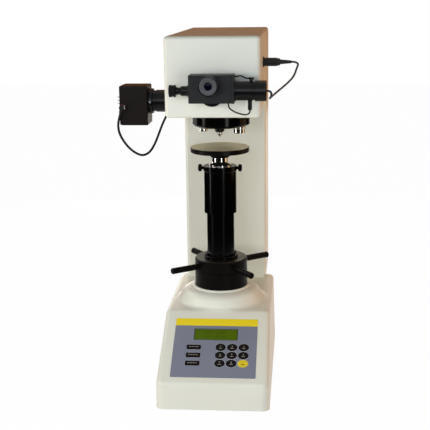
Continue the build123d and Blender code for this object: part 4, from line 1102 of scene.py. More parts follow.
        # The half's middle and its normal in Y and Z before the rocker is tipped.
        level = (self.rocker_half[0], side * self.rocker_half[1])
        flat = np.array([level, (math.cos(slope), -side * math.sin(slope))])
        turn = np.array([(math.cos(tip), -math.sin(tip)), (math.sin(tip), math.cos(tip))])
        middle, normal = flat @ turn
        out = (0.0, float(normal[0]), float(normal[1]))
        centre = tuple(np.array(self.rocker_pivot) + (0.0, middle[0], middle[1]))
        if side > 0:
            mark = bar("rocker_stroke", self.place, centre, self.stroke, out)
        else:
            inner, outer = self.ring
            section = np.array([
                (inner, 0), (outer, 0), (outer, self.ring_thick), (inner, self.ring_thick),
                (inner, 0),
            ])
            mark = turned("rocker_ring", self.place, section, centre, out, columns=48)
        self.add(mark, PALE_INK, Body.ROCKER, "black_plastic")


@dataclass
class Keypad(Assembly):
    """The film, the display and the twelve keys, with their printing.

    Attributes:
        panel: The sloping panel.
        film_top: Height of the film's face above the panel.
        key_top: Height of the keys' faces above the panel.
        print_thick: Thickness of the printing.
        round_size: Half width and half height of a round key.
        round_first: The first round key's middle, across and down the panel.
        round_pitch: Steps to the next round key, across and down.
        round_columns: Points round a round key's rim.
        bar_size: Half width and half height of a bar key.
        bar_first: The first bar key's middle, across and down the panel.
        bar_pitch: Step down to the next bar key.
        bar_columns: Points round a bar key's rim.
        bar_power: Power of the superellipse that is a bar key's outline.
        rim_gap: From a key's edge to its printed rim.
        rim_width: Width of a round key's rim.
        bar_rim_width: Width of a bar key's rim.
        sign_height: Height of the signs.
        sign_up: How far a sign sits above its key's middle.
        line_down: How far the line under it sits below the middle.
        line_size: Size of the line under a sign.
        last_line_size: Its size on the yellow key.
        stroke_size: Size of each stroke on a bar key.
        stroke_shifts: Places of the strokes across a bar key.
        window: How far down the display's middle is, and its width and height.
        window_edge: Width of the dark band printed round it, which is painted shade for the
            window's recess.
        digits: Each row of digits in the display, and how far down the panel it is.
        digit_height: Height of the digits.
        digit_out: Height of their underside above the panel.
        digit_thick: Their thickness.
    """

    panel: Panel
    film_top: float = 0.4
    key_top: float = 1.6
    print_thick: float = 0.08
    round_size: tuple[float, float] = (9.0, 7.7)
    round_first: tuple[float, float] = (10.3, 84.7)
    round_pitch: tuple[float, float] = (20.8, 17.6)
    round_columns: int = 48
    bar_size: tuple[float, float] = (12.7, 4.8)
    bar_first: tuple[float, float] = (-38.0, 85.2)
    bar_pitch: float = 17.7
    bar_columns: int = 64
    bar_power: float = 10.0
    rim_gap: float = 0.8
    rim_width: float = 0.35
    bar_rim_width: float = 0.245
    sign_height: float = 3.8
    sign_up: float = 1.0
    line_down: float = 3.0
    line_size: tuple[float, float] = (6.0, 0.8)
    last_line_size: tuple[float, float] = (7.0, 1.6)
    stroke_size: tuple[float, float] = (3.4, 0.9)
    stroke_shifts: tuple[float, ...] = (-6.6, -2.2, 2.2, 6.6)
    window: tuple[float, float, float] = (56.0, 78.0, 24.0)
    window_edge: float = 0.9
    digits: tuple[tuple[str, float], ...] = (("000.0  000.0", 51.0), ("0.0    00  00", 61.0))
    digit_height: float = 5.2
    digit_out: float = -0.16
    digit_thick: float = 0.06

    def build(self) -> None:
        """Dress the keypad and print it."""
        # Polyester film printed from behind: flat slate under a satin face, with a yellow strip.
        film = PrintedFilm(
            "reverse_printed_polyester_film", "#7A7F91", "#747989", 0.42, patch=60.0, grain=0.3,
            relief=0.004, origin=self.panel.origin, slope=self.panel.slope,
        )
        self.dress(film, "keypad_overlay")
        self.dress(LCD, "display")
        self.dress(BOARD, "keypad_board")
        for row in range(3):
            for column in range(3):
                self.round_key(row, column)
        for row, name in enumerate(("upper", "middle", "lower")):
            self.bar_key(row, name)
        self.display_digits()
        self.display_recess_shade()

    def round_key(self, row: int, column: int) -> None:
        """Dress one round key and print its rim, its sign and a line under it.

        Args:
            row: The key's row, from 0 at the top.
            column: Its column, from 0 at the left.
        """
        name = f"key_row{row + 1}_{column + 1}"
        last = row == 2 and column == 2
        self.dress(KEY_YELLOW if last else KEY_BLACK, name)
        across = self.round_first[0] + column * self.round_pitch[0]
        down = self.round_first[1] + row * self.round_pitch[1]
        angle = np.linspace(0, 2 * np.pi, self.round_columns, endpoint=False)
        half = np.array(self.round_size) + self.rim_gap
        outline = np.stack([half[0] * np.cos(angle), half[1] * np.sin(angle)], axis=-1)
        self.key_rim(name, outline, (across, down), self.rim_width)
        ink = DARK_INK if last else LEGEND_INK
        sign = glyphs(
            f"{name}_sign", self.panel, ">" if last else str(3 * row + column + 1),
            self.sign_height, (across, down - self.sign_up), self.key_top, self.print_thick,
        )
        self.print_on_key(sign, name, ink)
        line = bar_on(
            f"{name}_underline", self.panel, (across, down + self.line_down),
            self.last_line_size if last else self.line_size, self.key_top, self.print_thick,
        )
        self.print_on_key(line, name, ink)

    def key_rim(
        self, key: str, outline: np.ndarray, centre: tuple[float, float], width: float
    ) -> None:
        """Print the pale rim round a key.

        Args:
            key: The key's node.
            outline: Array of (across, down) points round the key's middle.
            centre: The key's middle on the panel.
            width: The rim's width.
        """
        rim = ring_slab(
            f"{key}_rim", self.panel, outline, centre, self.film_top, width, self.print_thick
        )
        self.add(rim, PALE_INK, Body.FRAME, "overlay_blue")

    def print_on_key(self, piece: bpy.types.Object, key: str, ink: Finish) -> None:
        """Let a printed piece ride on its key.

        Args:
            piece: The printed piece.
            key: The key's node.
            ink: The ink.
        """
        piece.data.materials.clear()
        piece.data.materials.append(ink.material())
        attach(piece, key + "_body")
        LOG.info("piece %s", piece.name)

    def bar_key(self, row: int, name: str) -> None:
        """Dress one bar key and print a broken line on it.

        Its rim is a superellipse: (|x| / a)^n + (|y| / b)^n = 1 with a high power n is a rectangle
        with rounded corners.

        Args:
            row: The key's row, from 0 at the top.
            name: The last word of its node's name.
        """
        node = f"mode_key_{name}"
        self.dress(KEY_BLACK, node)
        across, down = self.bar_first[0], self.bar_first[1] + row * self.bar_pitch
        half = np.array(self.bar_size) + self.rim_gap
        angle = np.linspace(0, 2 * np.pi, self.bar_columns, endpoint=False)
        ways = np.stack([np.cos(angle), np.sin(angle)], axis=-1)
        reach = (np.abs(ways / half) ** self.bar_power).sum(axis=1) ** (-1 / self.bar_power)
        self.key_rim(node, ways * reach[:, None], (across, down), self.bar_rim_width)
        for number, shift in enumerate(self.stroke_shifts):
            stroke = bar_on(
                f"{node}_stroke_{number + 1}", self.panel, (across + shift, down),
                self.stroke_size, self.key_top, self.print_thick,
            )
            self.print_on_key(stroke, node, LEGEND_INK)

    def display_recess_shade(self) -> None:
        """Print a dark band round the display's window: painted shade that stands for the shade of
        its recess.
        """
        down, width, height = self.window
        edge = self.window_edge
        level, upright = (width + 2 * edge, edge), (edge, height)
        sides = (
            ((0.0, down - (height + edge) / 2), level), ((0.0, down + (height + edge) / 2), level),
            ((-(width + edge) / 2, down), upright), (((width + edge) / 2, down), upright),
        )
        parts = [
            bar_on("edge", self.panel, centre, size, self.film_top, self.print_thick)
            for centre, size in sides
        ]
        self.add(gathered("display_recess_shade", parts), RECESS_SHADE_INK, Body.FRAME, "overlay_blue")

    def display_digits(self) -> None:
        """Set two rows of plain digits in the display."""
        for number, (text, down) in enumerate(self.digits):
            row = glyphs(
                f"display_digits_{number + 1}", self.panel, text, self.digit_height, (0.0, down),
                self.digit_out, self.digit_thick,
            )
            self.add(row, LCD_SEGMENT, Body.FRAME, "lcd_glass")


@dataclass
class Spindle(Assembly):
    """Handwheel, dust tubes, elevating screw and table.

    Attributes:
        hub_top: Height of the hub's top face.
        table_top: Height of the table's face at rest.
        skin: How far below a top face its bright turning starts.
        flange_top: Height of the lower tube's flange.
        flange_circle: Radius of the circle that its screws stand on.
        flange_screw_count: How many they are.
        flange_socket: Inner radius of their sockets.
        thumb_face: Distance of the thumb screws' seats from the axis.
        thumb_z: Their height.
        thumb_grip: Where the knurl of a thumb screw starts and ends.
    """

    hub_top: float = 232.0
    table_top: float = 444.6
    skin: float = 0.3
    flange_top: float = 237.0
    flange_circle: float = 29.7
    flange_screw_count: int = 6
    flange_socket: float = 1.1
    thumb_face: float = 34.2
    thumb_z: float = 404.2
    thumb_grip: tuple[float, float] = (1.8, 5.2)

    def build(self) -> None:
        """Dress the spindle."""
        self.dress(BLACK_OXIDE, "bearing_housing", "handwheel_spokes")
        # The same black oxide, with its top face turned after blackening to a dull grey.
        hub = GroundTop(
            "black_oxide_hub_with_turned_top", "#080605", "#0C0907", 0.36, patch=25.0, grain=0.5,
            relief=0.008, stretch=(8.0, 8.0, 0.6), specular=0.05,
            level=(self.hub_top - self.skin) * MM, bright="#4A453D", bright_roughness=0.3,
        )
        self.dress(hub, "handwheel_hub")
        self.dress(GLOSS_BLACK, "lower_dust_tube", "upper_dust_tube")
        self.flange_screws()
        for side, body in ((-1, Body.THUMB_LEFT), (1, Body.THUMB_RIGHT)):
            self.thumb_screw(side, body)
        # Blackened steel whose top face is ground: pale, warm and finely scratched one way.
        table = GroundTop(
            "blackened_table_with_ground_top", "#080605", "#0C0907", 0.3, patch=25.0, grain=0.6,
            relief=0.004, stretch=(14.0, 1.0, 1.0), specular=0.08,
            level=(self.table_top - self.skin) * MM, bright="#D6CDAE",
        )
        self.dress(table, "specimen_table")
        self.table_hub()
        self.dress(HARD_CHROME, "elevating_screw")
        self.dress(BRONZE, "screw_nut")
        self.dress(ZINC, "thrust_bearing")

    def table_hub(self) -> None:
        """Turn the flared hub under the table."""
        corners = [
            (14.9, 424.6), (17.0, 424.6), (19.2, 429.0), (20.6, 435.2), (14.9, 435.2),
            (14.9, 424.6),
        ]
        piece = turned("table_hub", self.place, soften(corners, 0.8), (0, 0, 0), (0, 0, 1))
        self.add(piece, BLACK_OXIDE, Body.SCREW, "black_steel")

    def flange_screws(self) -> None:
        """Turn the socket screws of the lower tube's flange."""
        wall = self.flange_socket
        outline = [(0, 0), (2.4, 0), (2.4, 3.0), (wall, 3.0), (wall, 1.5), (0, 1.5)]
        step = 360 / self.flange_screw_count
        turns = [math.radians(step * (number + 0.5)) for number in range(self.flange_screw_count)]
        places = [
            (self.flange_circle * math.cos(turn), self.flange_circle * math.sin(turn),
             self.flange_top)
            for turn in turns
        ]
        heads = self.socket_heads(outline, wall, 0.3, places, (0, 0, 1))
        self.add(
            gathered("flange_socket_screws", heads), BLACK_OXIDE, Body.HANDWHEEL, "screw_steel",
            "flange_screws",
        )

    def thumb_screw(self, side: int, body: Body) -> None:
        """Turn one knurled thumb screw.

        Args:
            side: -1 for the left one, 1 for the right one.
            body: The body it rides on.
        """
        low, high = self.thumb_grip
        profile = np.array(
            [(0, -15.4), (3, -15.4), (3, 0), (4.8, 0), (6.0, 0.5), (6.6, 1.1)] + run(6.9, low, high)
            + [(6.6, 5.9), (6.0, 6.5), (4.8, 7), (2.6, 7), (2.2, 6.6), (0, 6.6)]
        )
        name = "thumb_screw_left" if side < 0 else "thumb_screw_right"
        self.lathe(
            name, profile, ((side * self.thumb_face, 0.0, self.thumb_z), (side, 0, 0)),
            BLACK_OXIDE, body, "black_steel", columns=192,
            ripples=[knurl(count=32, depth=0.45, low=low, high=high, pitch=1.5)],
        )


@dataclass
class Turret(Assembly):
    """The turret with its objectives and its indenter.

    Attributes:
        station: Distance of each station from the turret's axis.
        face: The turret's lower face.
        sink: How far the objectives go into it.
        seat: Radius of their shanks.
        gap: How far below the turret's face an objective's shoulder is.
        glass_gap: Between an objective's opening and its glass.
        glass_rise: How far the glass bulges.
        glass_rim: Thickness of the glass at its edge.
    """

    station: float = 34.5
    face: float = 479.0
    sink: float = 8.0
    seat: float = 7.0
    gap: float = 0.3
    glass_gap: float = 0.1
    glass_rise: float = 0.5
    glass_rim: float = 0.05

    def build(self) -> None:
        """Dress the turret."""
        self.dress(GLOSS_BLACK, "turret_body")
        self.dress(BLACK_TURNED, "turret_mount", "indenter_holder")
        self.dress(TURNED_STEEL, "indenter")
        self.objective(
            "short_objective", -self.station, 4.5, 469.5,
            [(5.5, 468.5), (8.8, 468.5), (10.0, 469.7), (10.0, 473.6), (9.6, 474.0), (9.6, 474.6),
             (10.0, 475.0)],
        )
        self.objective(
            "long_objective", self.station, 3.0, 465.4,
            [(3.8, 464.6), (10.0, 464.6), (11.0, 465.8), (11.0, 473.6), (11.6, 474.2)],
        )

    def objective(
        self, node: str, x: float, opening: float, glass_level: float,
        wall: list[tuple[float, float]],
    ) -> None:
        """Turn one objective and set its front glass.

        The glass is a dome: its depth falls off with the square of the radius.

        Args:
            node: The CAD node.
            x: Its station's place across the turret.
            opening: Radius of its opening.
            glass_level: Height of the opening's floor.
            wall: The profile from the opening's edge up its outside.
        """
        shoulder, top = self.face - self.gap, self.face + self.sink
        corners = (
            [(0.0, glass_level), (opening, glass_level)] + wall
            + [(wall[-1][0], shoulder), (self.seat, shoulder), (self.seat, top), (0.0, top)]
        )
        axis = ((x, self.station, 0.0), (0, 0, 1))
        self.lathe(node, soften(corners, 0.35), axis, HARD_CHROME, Body.TURRET, "chrome")
        share = np.linspace(0, 1, 8)
        edge, back = opening - self.glass_gap, glass_level + self.glass_rim
        dome = np.stack([edge * share, glass_level - self.glass_rise * (1 - share**2)], axis=-1)
        glass = np.vstack([dome, [(edge, back), (0, back)]])
        piece = turned(node + "_glass", self.place, glass, *axis, columns=48)
        self.add(piece, LENS, Body.TURRET, "lens_glass")


@dataclass
class MeasuringHead(Assembly):
    """The measuring eyepiece on the head's front.

    Attributes:
        eye_axis: Where the eyepiece leaves the block, and the way that it looks.
        knob_axis: Where the knob's grip starts, and the way that it points.
    """

    eye_axis: tuple[Point, Point] = ((0.0, -190.0, 576.2), (0.0, -1.0, 0.0))
    knob_axis: tuple[Point, Point] = ((-57.9, -172.0, 565.0), (-1.0, 0.0, 0.0))

    def build(self) -> None:
        """Dress the measuring head."""
        self.dress(BLACK_ANODISED, "measuring_block")
        self.dress(
            BLACK_TURNED, "eyepiece_flange", "encoder_barrel", "encoder_cap", "knob_sleeve",
            "eyepiece_tube",
        )
        self.dioptre_ring()
        self.dioptre_lit_face()
        self.eye_lens()
        self.knob()

    def dioptre_ring(self) -> None:
        """Turn the fluted dioptre ring, with a groove in its face."""
        start, low, high, bore = 15.4, 16.6, 25.4, 11.05
        profile = np.array(
            [(bore, start), (16.2, start), (16.9, 16.0)] + run(17.0, low, high, 0.4)
            + [(16.9, 25.9), (16.2, 26.7), (15.5, 26.9), (12.2, 26.9), (11.6, 26.4), (10.2, 26.4),
               (9.2, 26.0), (9.0, 24.4), (bore, 24.4), (bore, start)]
        )
        self.lathe(
            "dioptre_ring", profile, self.eye_axis, BLACK_TURNED, Body.DIOPTRE, "black_plastic",
            columns=288, ripples=[flutes(count=36, depth=0.6, low=low, high=high)],
        )

    def dioptre_lit_face(self) -> None:
        """Turn the satin grey ring in the dioptre ring's face, whose grey is painted light on the
        matt face, and the eye guard inside it.
        """
        ring = [(6.8, 26.0), (14.3, 26.4), (14.3, 27.1), (7.0, 26.6), (6.8, 26.0)]
        piece = turned("dioptre_lit_face", self.place, soften(ring, 0.2), *self.eye_axis, columns=144)
        self.add(piece, LIT_FACE_GREY, Body.DIOPTRE, "black_plastic")
        guard = [
            (6.2, 23.4), (9.0, 24.6), (9.0, 26.0), (8.0, 26.0), (5.4, 24.0), (5.4, 23.0),
            (6.2, 23.0), (6.2, 23.4),
        ]
        piece = turned("eye_guard", self.place, soften(guard, 0.3), *self.eye_axis, columns=96)
        self.add(piece, POLYAMIDE, Body.DIOPTRE, "black_plastic")

    def eye_lens(self) -> None:
        """Grind the eye lens: a cap of a sphere with radius R = (r r + s s) / 2 s, on a rim."""
        rim, back, level, rise = 7.5, 20.0, 22.4, 1.2
        ball = (rim**2 + rise**2) / (2 * rise)
        radius = np.linspace(rim, 0, 14)
        height = level + rise - ball + np.sqrt(ball**2 - radius**2)
        profile = np.vstack([[(0, back), (rim, back)], np.stack([radius, height], axis=-1)])
        self.lathe(
            "eye_lens", profile, self.eye_axis, LENS, Body.MEASURING_HEAD, "lens_glass",
            columns=72,
        )

    def knob(self) -> None:
        """Turn the measuring knob, with two knurled bands and its shaft."""
        radius, waist = 10.2, 8.6
        bands = ((0.6, 3.6), (6.0, 11.0))
        profile = np.array(
            [(0, -21.4), (3, -21.4), (3, 0), (9.6, 0), (10.0, 0.3)] + run(radius, *bands[0])
            + [(10.0, 3.9), (9.6, 4.1), (waist, 4.1), (waist, 5.6), (9.6, 5.6), (10.0, 5.8)]
            + run(radius, *bands[1])
            + [(10.0, 11.3), (9.6, 11.6), (4.0, 11.6), (3.6, 11.2), (0, 11.2)]
        )
        self.lathe(
            "measuring_knob", profile, self.knob_axis, BLACK_TURNED, Body.KNOB, "black_aluminium",
            columns=240,
            ripples=[knurl(count=40, depth=0.5, low=low, high=high, pitch=1.5)
                     for low, high in bands],
        )


@dataclass
class SideCamera(Assembly):
    """The camera and what carries it.

    Attributes:
        back_x: The camera's back.
        pin_y: How far forward its three pins are.
        pin_levels: Their heights.
        plug: The video plug's middle on the camera's front side.
        clip_shift: From there to the middle of the plug's clip.
        clip_size: The clip's size.
        ring_screw: Where the lens ring's screw sits.
        ring_socket: Inner radius of its socket.
    """

    back_x: float = -181.8
    pin_y: float = -22.0
    pin_levels: tuple[float, ...] = (527.5, 533.5, 539.5)
    plug: Point = (-176.0, -28.0, 520.9)
    clip_shift: Point = (5.0, -9.9, 1.5)
    clip_size: Point = (1.6, 7.5, 0.6)
    ring_screw: Point = (-126.0, -24.2, 530.0)
    ring_socket: float = 0.9

    def build(self) -> None:
        """Dress the camera and add its small metal pieces."""
        self.dress(BLACK_TURNED, "camera_adapter", "camera_ring")
        self.dress(CAMERA_PAINT, "camera_body")
        self.pins()
        self.plug_trim()
        self.lens_ring_screw()

    def pins(self) -> None:
        """Sleeve the pins on the camera's back in zinc."""
        profile = soften([(0, 0), (0.98, 0), (0.98, 3.9), (0, 3.95)], 0.3)
        places = [(self.back_x, self.pin_y, level) for level in self.pin_levels]
        sleeves = [
            turned("pin", self.place, profile, place, (-1, 0, 0), columns=32) for place in places
        ]
        self.add(gathered("camera_pin_sleeves", sleeves), ZINC, Body.FRAME, "screw_steel")

    def plug_trim(self) -> None:
        """Turn the collar of the video plug and set its clip."""
        front = (0.0, -1.0, 0.0)
        outline = [(5.2, 0.3), (5.9, 0.3), (5.9, 4.2), (5.2, 4.2), (5.2, 0.3)]
        collar = turned(
            "video_plug_collar", self.place, soften(outline, 0.4), self.plug, front, columns=64
        )
        self.add(collar, RED_COLLAR, Body.FRAME, "cord_jacket")
        centre = [middle + shift for middle, shift in zip(self.plug, self.clip_shift)]
        clip = bar("video_plug_clip", self.place, centre, self.clip_size, front)
        self.add(clip, ZINC, Body.FRAME, "screw_steel")

    def lens_ring_screw(self) -> None:
        """Turn the screw that holds the lens ring."""
        wall = self.ring_socket
        outline = [(0, 0), (1.9, 0), (1.9, 0.7), (wall, 0.7), (wall, 0.2), (0, 0.2)]
        screw = turned(
            "camera_ring_screw", self.place, soften(outline, 0.2), self.ring_screw, (0, -1, 0),
            columns=48, ripples=[hexagon(wall)],
        )
        self.add(screw, ZINC, Body.FRAME, "screw_steel")


class LeadKind(Enum):
    """How a lead is laid: riding on one body, or baked in place where it runs between two."""

    RIDES = 1
    BENDS = 2


@dataclass
class Lead:
    """A lead, as the smooth curve through its chosen route.

    Attributes:
        name: The piece's name.
        node: The CAD node that it replaces.
        diameter: Its diameter.
        route: Its route's points.
        body: The body it rides on.
        kind: How it moves.
        carries: Plugs on it; not used.
        stiffness: limp, medium or stiff; not used.
        bends_from: Where a lead that bends between two bodies starts to leave the first; not used.
    """

    name: str
    node: str
    diameter: float
    route: Sequence[Point]
    body: Body = Body.FRAME
    kind: LeadKind = LeadKind.RIDES
    carries: Sequence[str] = ()
    stiffness: str = "medium"
    bends_from: Point = (0.0, 0.0, 0.0)

    def curve(self, place: Placing, bevel: float) -> bpy.types.Object:
        """Build the route's NURBS curve.

        Args:
            place: Where the tester stands.
            bevel: Radius of its round section in metres, or 0 for a bare line.

        Returns:
            The curve's object.
        """
        data = bpy.data.curves.new(self.name, "CURVE")
        data.dimensions = "3D"
        data.resolution_u = 12
        data.bevel_depth = bevel
        data.bevel_resolution = 4
        data.use_fill_caps = True
        spline = data.splines.new("NURBS")
        spline.points.add(len(self.route) - 1)
        for control, point in zip(spline.points, self.route):
            control.co = (*place.at(point), 1.0)
        spline.order_u = 3
        spline.use_endpoint_u = True
        piece = bpy.data.objects.new(self.name, data)
        bpy.context.scene.collection.objects.link(piece)
        return piece

    def centreline(self, place: Placing) -> np.ndarray:
        """Read points along the NURBS curve.

        Args:
            place: Where the tester stands.

        Returns:
            An array of points in the row frame, in metres.
        """
        bare = self.curve(place, 0.0)
        bpy.context.view_layer.update()
        mesh = bpy.data.meshes.new_from_object(bare)
        points = np.zeros(len(mesh.vertices) * 3)
        mesh.vertices.foreach_get("co", points)
        bpy.data.objects.remove(bare)
        return points.reshape(-1, 3)


@dataclass
class Leads(Assembly):
    """Every lead with its plugs.

    Attributes:
        camera_cable: From the camera's plug to the one on the head's left side.
        encoder_lead: From the head's right side to the encoder on the measuring head.
        top_wire: The short wire from the block's top to the barrel.
        bottom_wire: The looped wire from the barrel's underside to the block.
    """

    camera_cable: Lead = field(default_factory=lambda: Lead(
        "camera_cable_curve", "camera_cable", 4.4,
        (
            (-179.6, -32.6, 510.5), (-183.2, -31.8, 500.0), (-185.6, -30.0, 485.5),
            (-182.8, -26.8, 469.0), (-172.7, -21.0, 450.0), (-160.4, -12.0, 435.3),
            (-146.6, 0.0, 426.2), (-134.6, 12.0, 430.6), (-126.6, 27.0, 444.6),
            (-120.6, 43.0, 462.5), (-115.0, 59.4, 480.6), (-107.4, 74.0, 497.0),
            (-98.6, 87.4, 508.8), (-93.6, 96.0, 520.6), (-93.6, 96.0, 532.0),
        ),
        carries=("video_plug", "camera_plug"),
    ))
    encoder_lead: Lead = field(default_factory=lambda: Lead(
        "encoder_lead_curve", "encoder_lead", 3.6,
        (
            (133.0, -25.0, 602.2), (138.0, -25.0, 602.2), (143.0, -28.0, 600.7),
            (145.4, -33.5, 598.1), (142.9, -43.2, 593.5), (138.0, -62.0, 579.8),
            (128.0, -82.0, 570.5), (117.0, -102.0, 562.8), (107.4, -122.0, 556.4),
            (100.4, -139.0, 551.8), (97.8, -151.5, 550.2), (98.8, -160.6, 551.4),
            (100.6, -167.2, 554.8), (101.4, -171.0, 559.4), (100.6, -172.0, 563.2),
            (97.2, -172.0, 565.0), (93.5, -172.0, 565.0),
        ),
        kind=LeadKind.BENDS, carries=("encoder_plug",), stiffness="limp",
        bends_from=(102.2, -133.4, 553.6),
    ))
    top_wire: Lead = field(default_factory=lambda: Lead(
        "top_link_wire", "link_wires", 2.6,
        (
            (40.0, -172.0, 589.0), (45.0, -172.0, 589.0), (51.0, -172.4, 590.6),
            (58.9, -172.0, 585.8), (63.7, -172.0, 585.8),
        ),
        body=Body.MEASURING_HEAD,
    ))
    bottom_wire: Lead = field(default_factory=lambda: Lead(
        "bottom_link_wire", "link_wires", 2.6,
        (
            (65.6, -172.0, 533.5), (65.6, -172.0, 528.5), (60.0, -172.4, 525.0),
            (50.0, -172.2, 526.4), (39.5, -172.0, 530.2), (31.5, -171.9, 535.5),
            (29.6, -172.0, 540.8), (29.6, -172.0, 545.75),
        ),
        body=Body.MEASURING_HEAD, stiffness="limp",
    ))

    def build(self) -> None:
        """Lay every lead and dress the plugs."""
        self.dress(POLYAMIDE, "encoder_plug", "camera_plug", "video_plug")
        for lead in (self.camera_cable, self.encoder_lead, self.top_wire, self.bottom_wire):
            self.lay(lead)

    def lay(self, lead: Lead) -> None:
        """Lay one lead.

        Args:
            lead: The lead.
        """
        line = lead.centreline(self.place)
        piece = lead.curve(self.place, lead.diameter / 2 * MM)
        if lead.kind is LeadKind.BENDS:
            bpy.context.view_layer.update()
            mesh = bpy.data.meshes.new_from_object(piece)
            bpy.data.objects.remove(piece)
            piece = finished(lead.name, mesh, LEAD_SHARP)
        piece.data.materials.clear()
        piece.data.materials.append(PVC.material())
        start, end = self.place.at(lead.route[0]), self.place.at(lead.route[-1])
        if lead.kind is LeadKind.BENDS:
            leaves = self.place.at(lead.bends_from)
            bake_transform(piece)
        else:
            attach(piece, lead.body.value)
        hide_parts(lead.node)


# ---- studio -------------------------------------------------------------------------------
@dataclass(frozen=True)
class Lamp:
    """An area lamp.

    Attributes:
        name: Its name.
        stand: Where it stands.
        aim: Where it points.
        size: Its width and height in metres.
        power: Its power in watts.
        colour: Its colour, as sRGB hex.
        spread: How far it throws its light, in degrees.
    """

    name: str
    stand: Point
    aim: Point
    size: tuple[float, float]
    power: float
    colour: str = "#FFFFFF"
    spread: float = 180.0

    def light(self, place: Placing) -> None:
        """Stand the lamp in the scene, unseen by the camera.

        Args:
            place: Where the tester stands.
        """
        data = bpy.data.lights.new(self.name, "AREA")
        data.shape = "RECTANGLE"
        data.size, data.size_y = self.size
        data.energy = self.power
        data.color = linear(self.colour)[:3]
        data.spread = math.radians(self.spread)
        lamp = bpy.data.objects.new(self.name, data)
        start, end = place.at(self.stand), place.at(self.aim)
        lamp.rotation_euler = (end - start).to_track_quat("-Z", "Y").to_euler()
        lamp.location = start
        lamp.visible_camera = False
        bpy.context.scene.collection.objects.link(lamp)


LAMPS = (
    # A broad cool light a little above the head, left of the camera.
    Lamp("front_soft", (-250.0, -1600.0, 740.0), (0.0, 0.0, 330.0), (1.0, 0.6), 8.2, "#E2EEFF"),
    # A warm one from the left, which brightens the left of every upright face.
    Lamp("left_soft", (-1200.0, -900.0, 560.0), (0.0, 0.0, 330.0), (0.6, 0.6), 8.6, "#FFEEDC"),
    # A weaker one on the right that fills the other side.
    Lamp("front_right", (700.0, -1400.0, 460.0), (0.0, 0.0, 330.0), (0.6, 0.6), 5.0),
    # A small one before the head, aimed down at the shelf and the sloping panel.
    Lamp("shelf_soft", (-60.0, -560.0, 640.0), (0.0, -90.0, 120.0), (0.35, 0.25), 0.1, spread=80.0),
    # A small one from the left and behind, which reaches the shelf past the column.
    Lamp("shelf_left", (-450.0, 250.0, 500.0), (0.0, -20.0, 150.0), (0.3, 0.3), 0.55),
    # A warm one for the shelf's right.
    Lamp("shelf_right", (450.0, 90.0, 420.0), (40.0, -30.0, 150.0), (0.3, 0.3), 0.36, "#FFD29C"),
    # Two narrow upright strips, which the round enamelled tubes show as thin lines.
    Lamp("left_strip", (-750.0, -290.0, 345.0), (0.0, 0.0, 345.0), (0.05, 0.3), 0.6),
    Lamp("right_strip", (375.0, -706.0, 370.0), (0.0, 0.0, 370.0), (0.03, 0.24), 0.2),
    # Warm room light from the right.
    Lamp("right_warm", (1300.0, 200.0, 450.0), (0.0, 50.0, 400.0), (0.6, 0.9), 4.0, "#FFB26E"),
    # Warm room light from above and behind, for the top of the head.
    Lamp("top_warm", (200.0, 700.0, 1600.0), (0.0, 100.0, 600.0), (0.8, 0.8), 2.0, "#F4B468"),
    # A plain low one behind, which only the rear cover faces.
    Lamp("back_soft", (-250.0, 1600.0, 380.0), (0.0, 280.0, 380.0), (0.9, 0.9), 7.5, "#FFF1E2"),
)


class Cloth(Enum):
    """The matt cloths of the flags, as sRGB hex."""

    BLACK = "#0A0908"
    BROWN = "#D8883A"

    def material(self) -> bpy.types.Material:
        """Build the cloth's material, or find the one built before.

        Returns:
            The material.
        """
        name = f"{self.name.lower()}_flag"
        known = bpy.data.materials.get(name)
        if known is not None:
            return known
        material = blank_material(name)
        matt = add_node(material.node_tree, "ShaderNodeBsdfDiffuse", {"Color": linear(self.value)})
        add_node(material.node_tree, "ShaderNodeOutputMaterial", {"Surface": matt.outputs["BSDF"]})
        return material


@dataclass(frozen=True)
class Flag:
    """A flag bent round the tester, which only reflections see.

    Attributes:
        cloth: What it is made of.
        start: Where it starts, in degrees to the right of the front.
        end: Where it ends.
        low: Height of its lower edge.
        high: Height of its upper edge.
    """

    cloth: Cloth
    start: float
    end: float
    low: float
    high: float


FLAGS = (
    # Black ones keep dark enamel dark and give chrome its stripes. Their gaps are at the strips.
    Flag(Cloth.BLACK, -62.0, 22.0, 1.0, 600.0),
    Flag(Cloth.BLACK, 34.0, 150.0, 1.0, 600.0),
    Flag(Cloth.BLACK, -150.0, -76.0, 1.0, 600.0),
    # A brown one behind tones the enamel where it is seen edge on.
    Flag(Cloth.BROWN, 140.0, 220.0, 410.0, 1700.0),
)


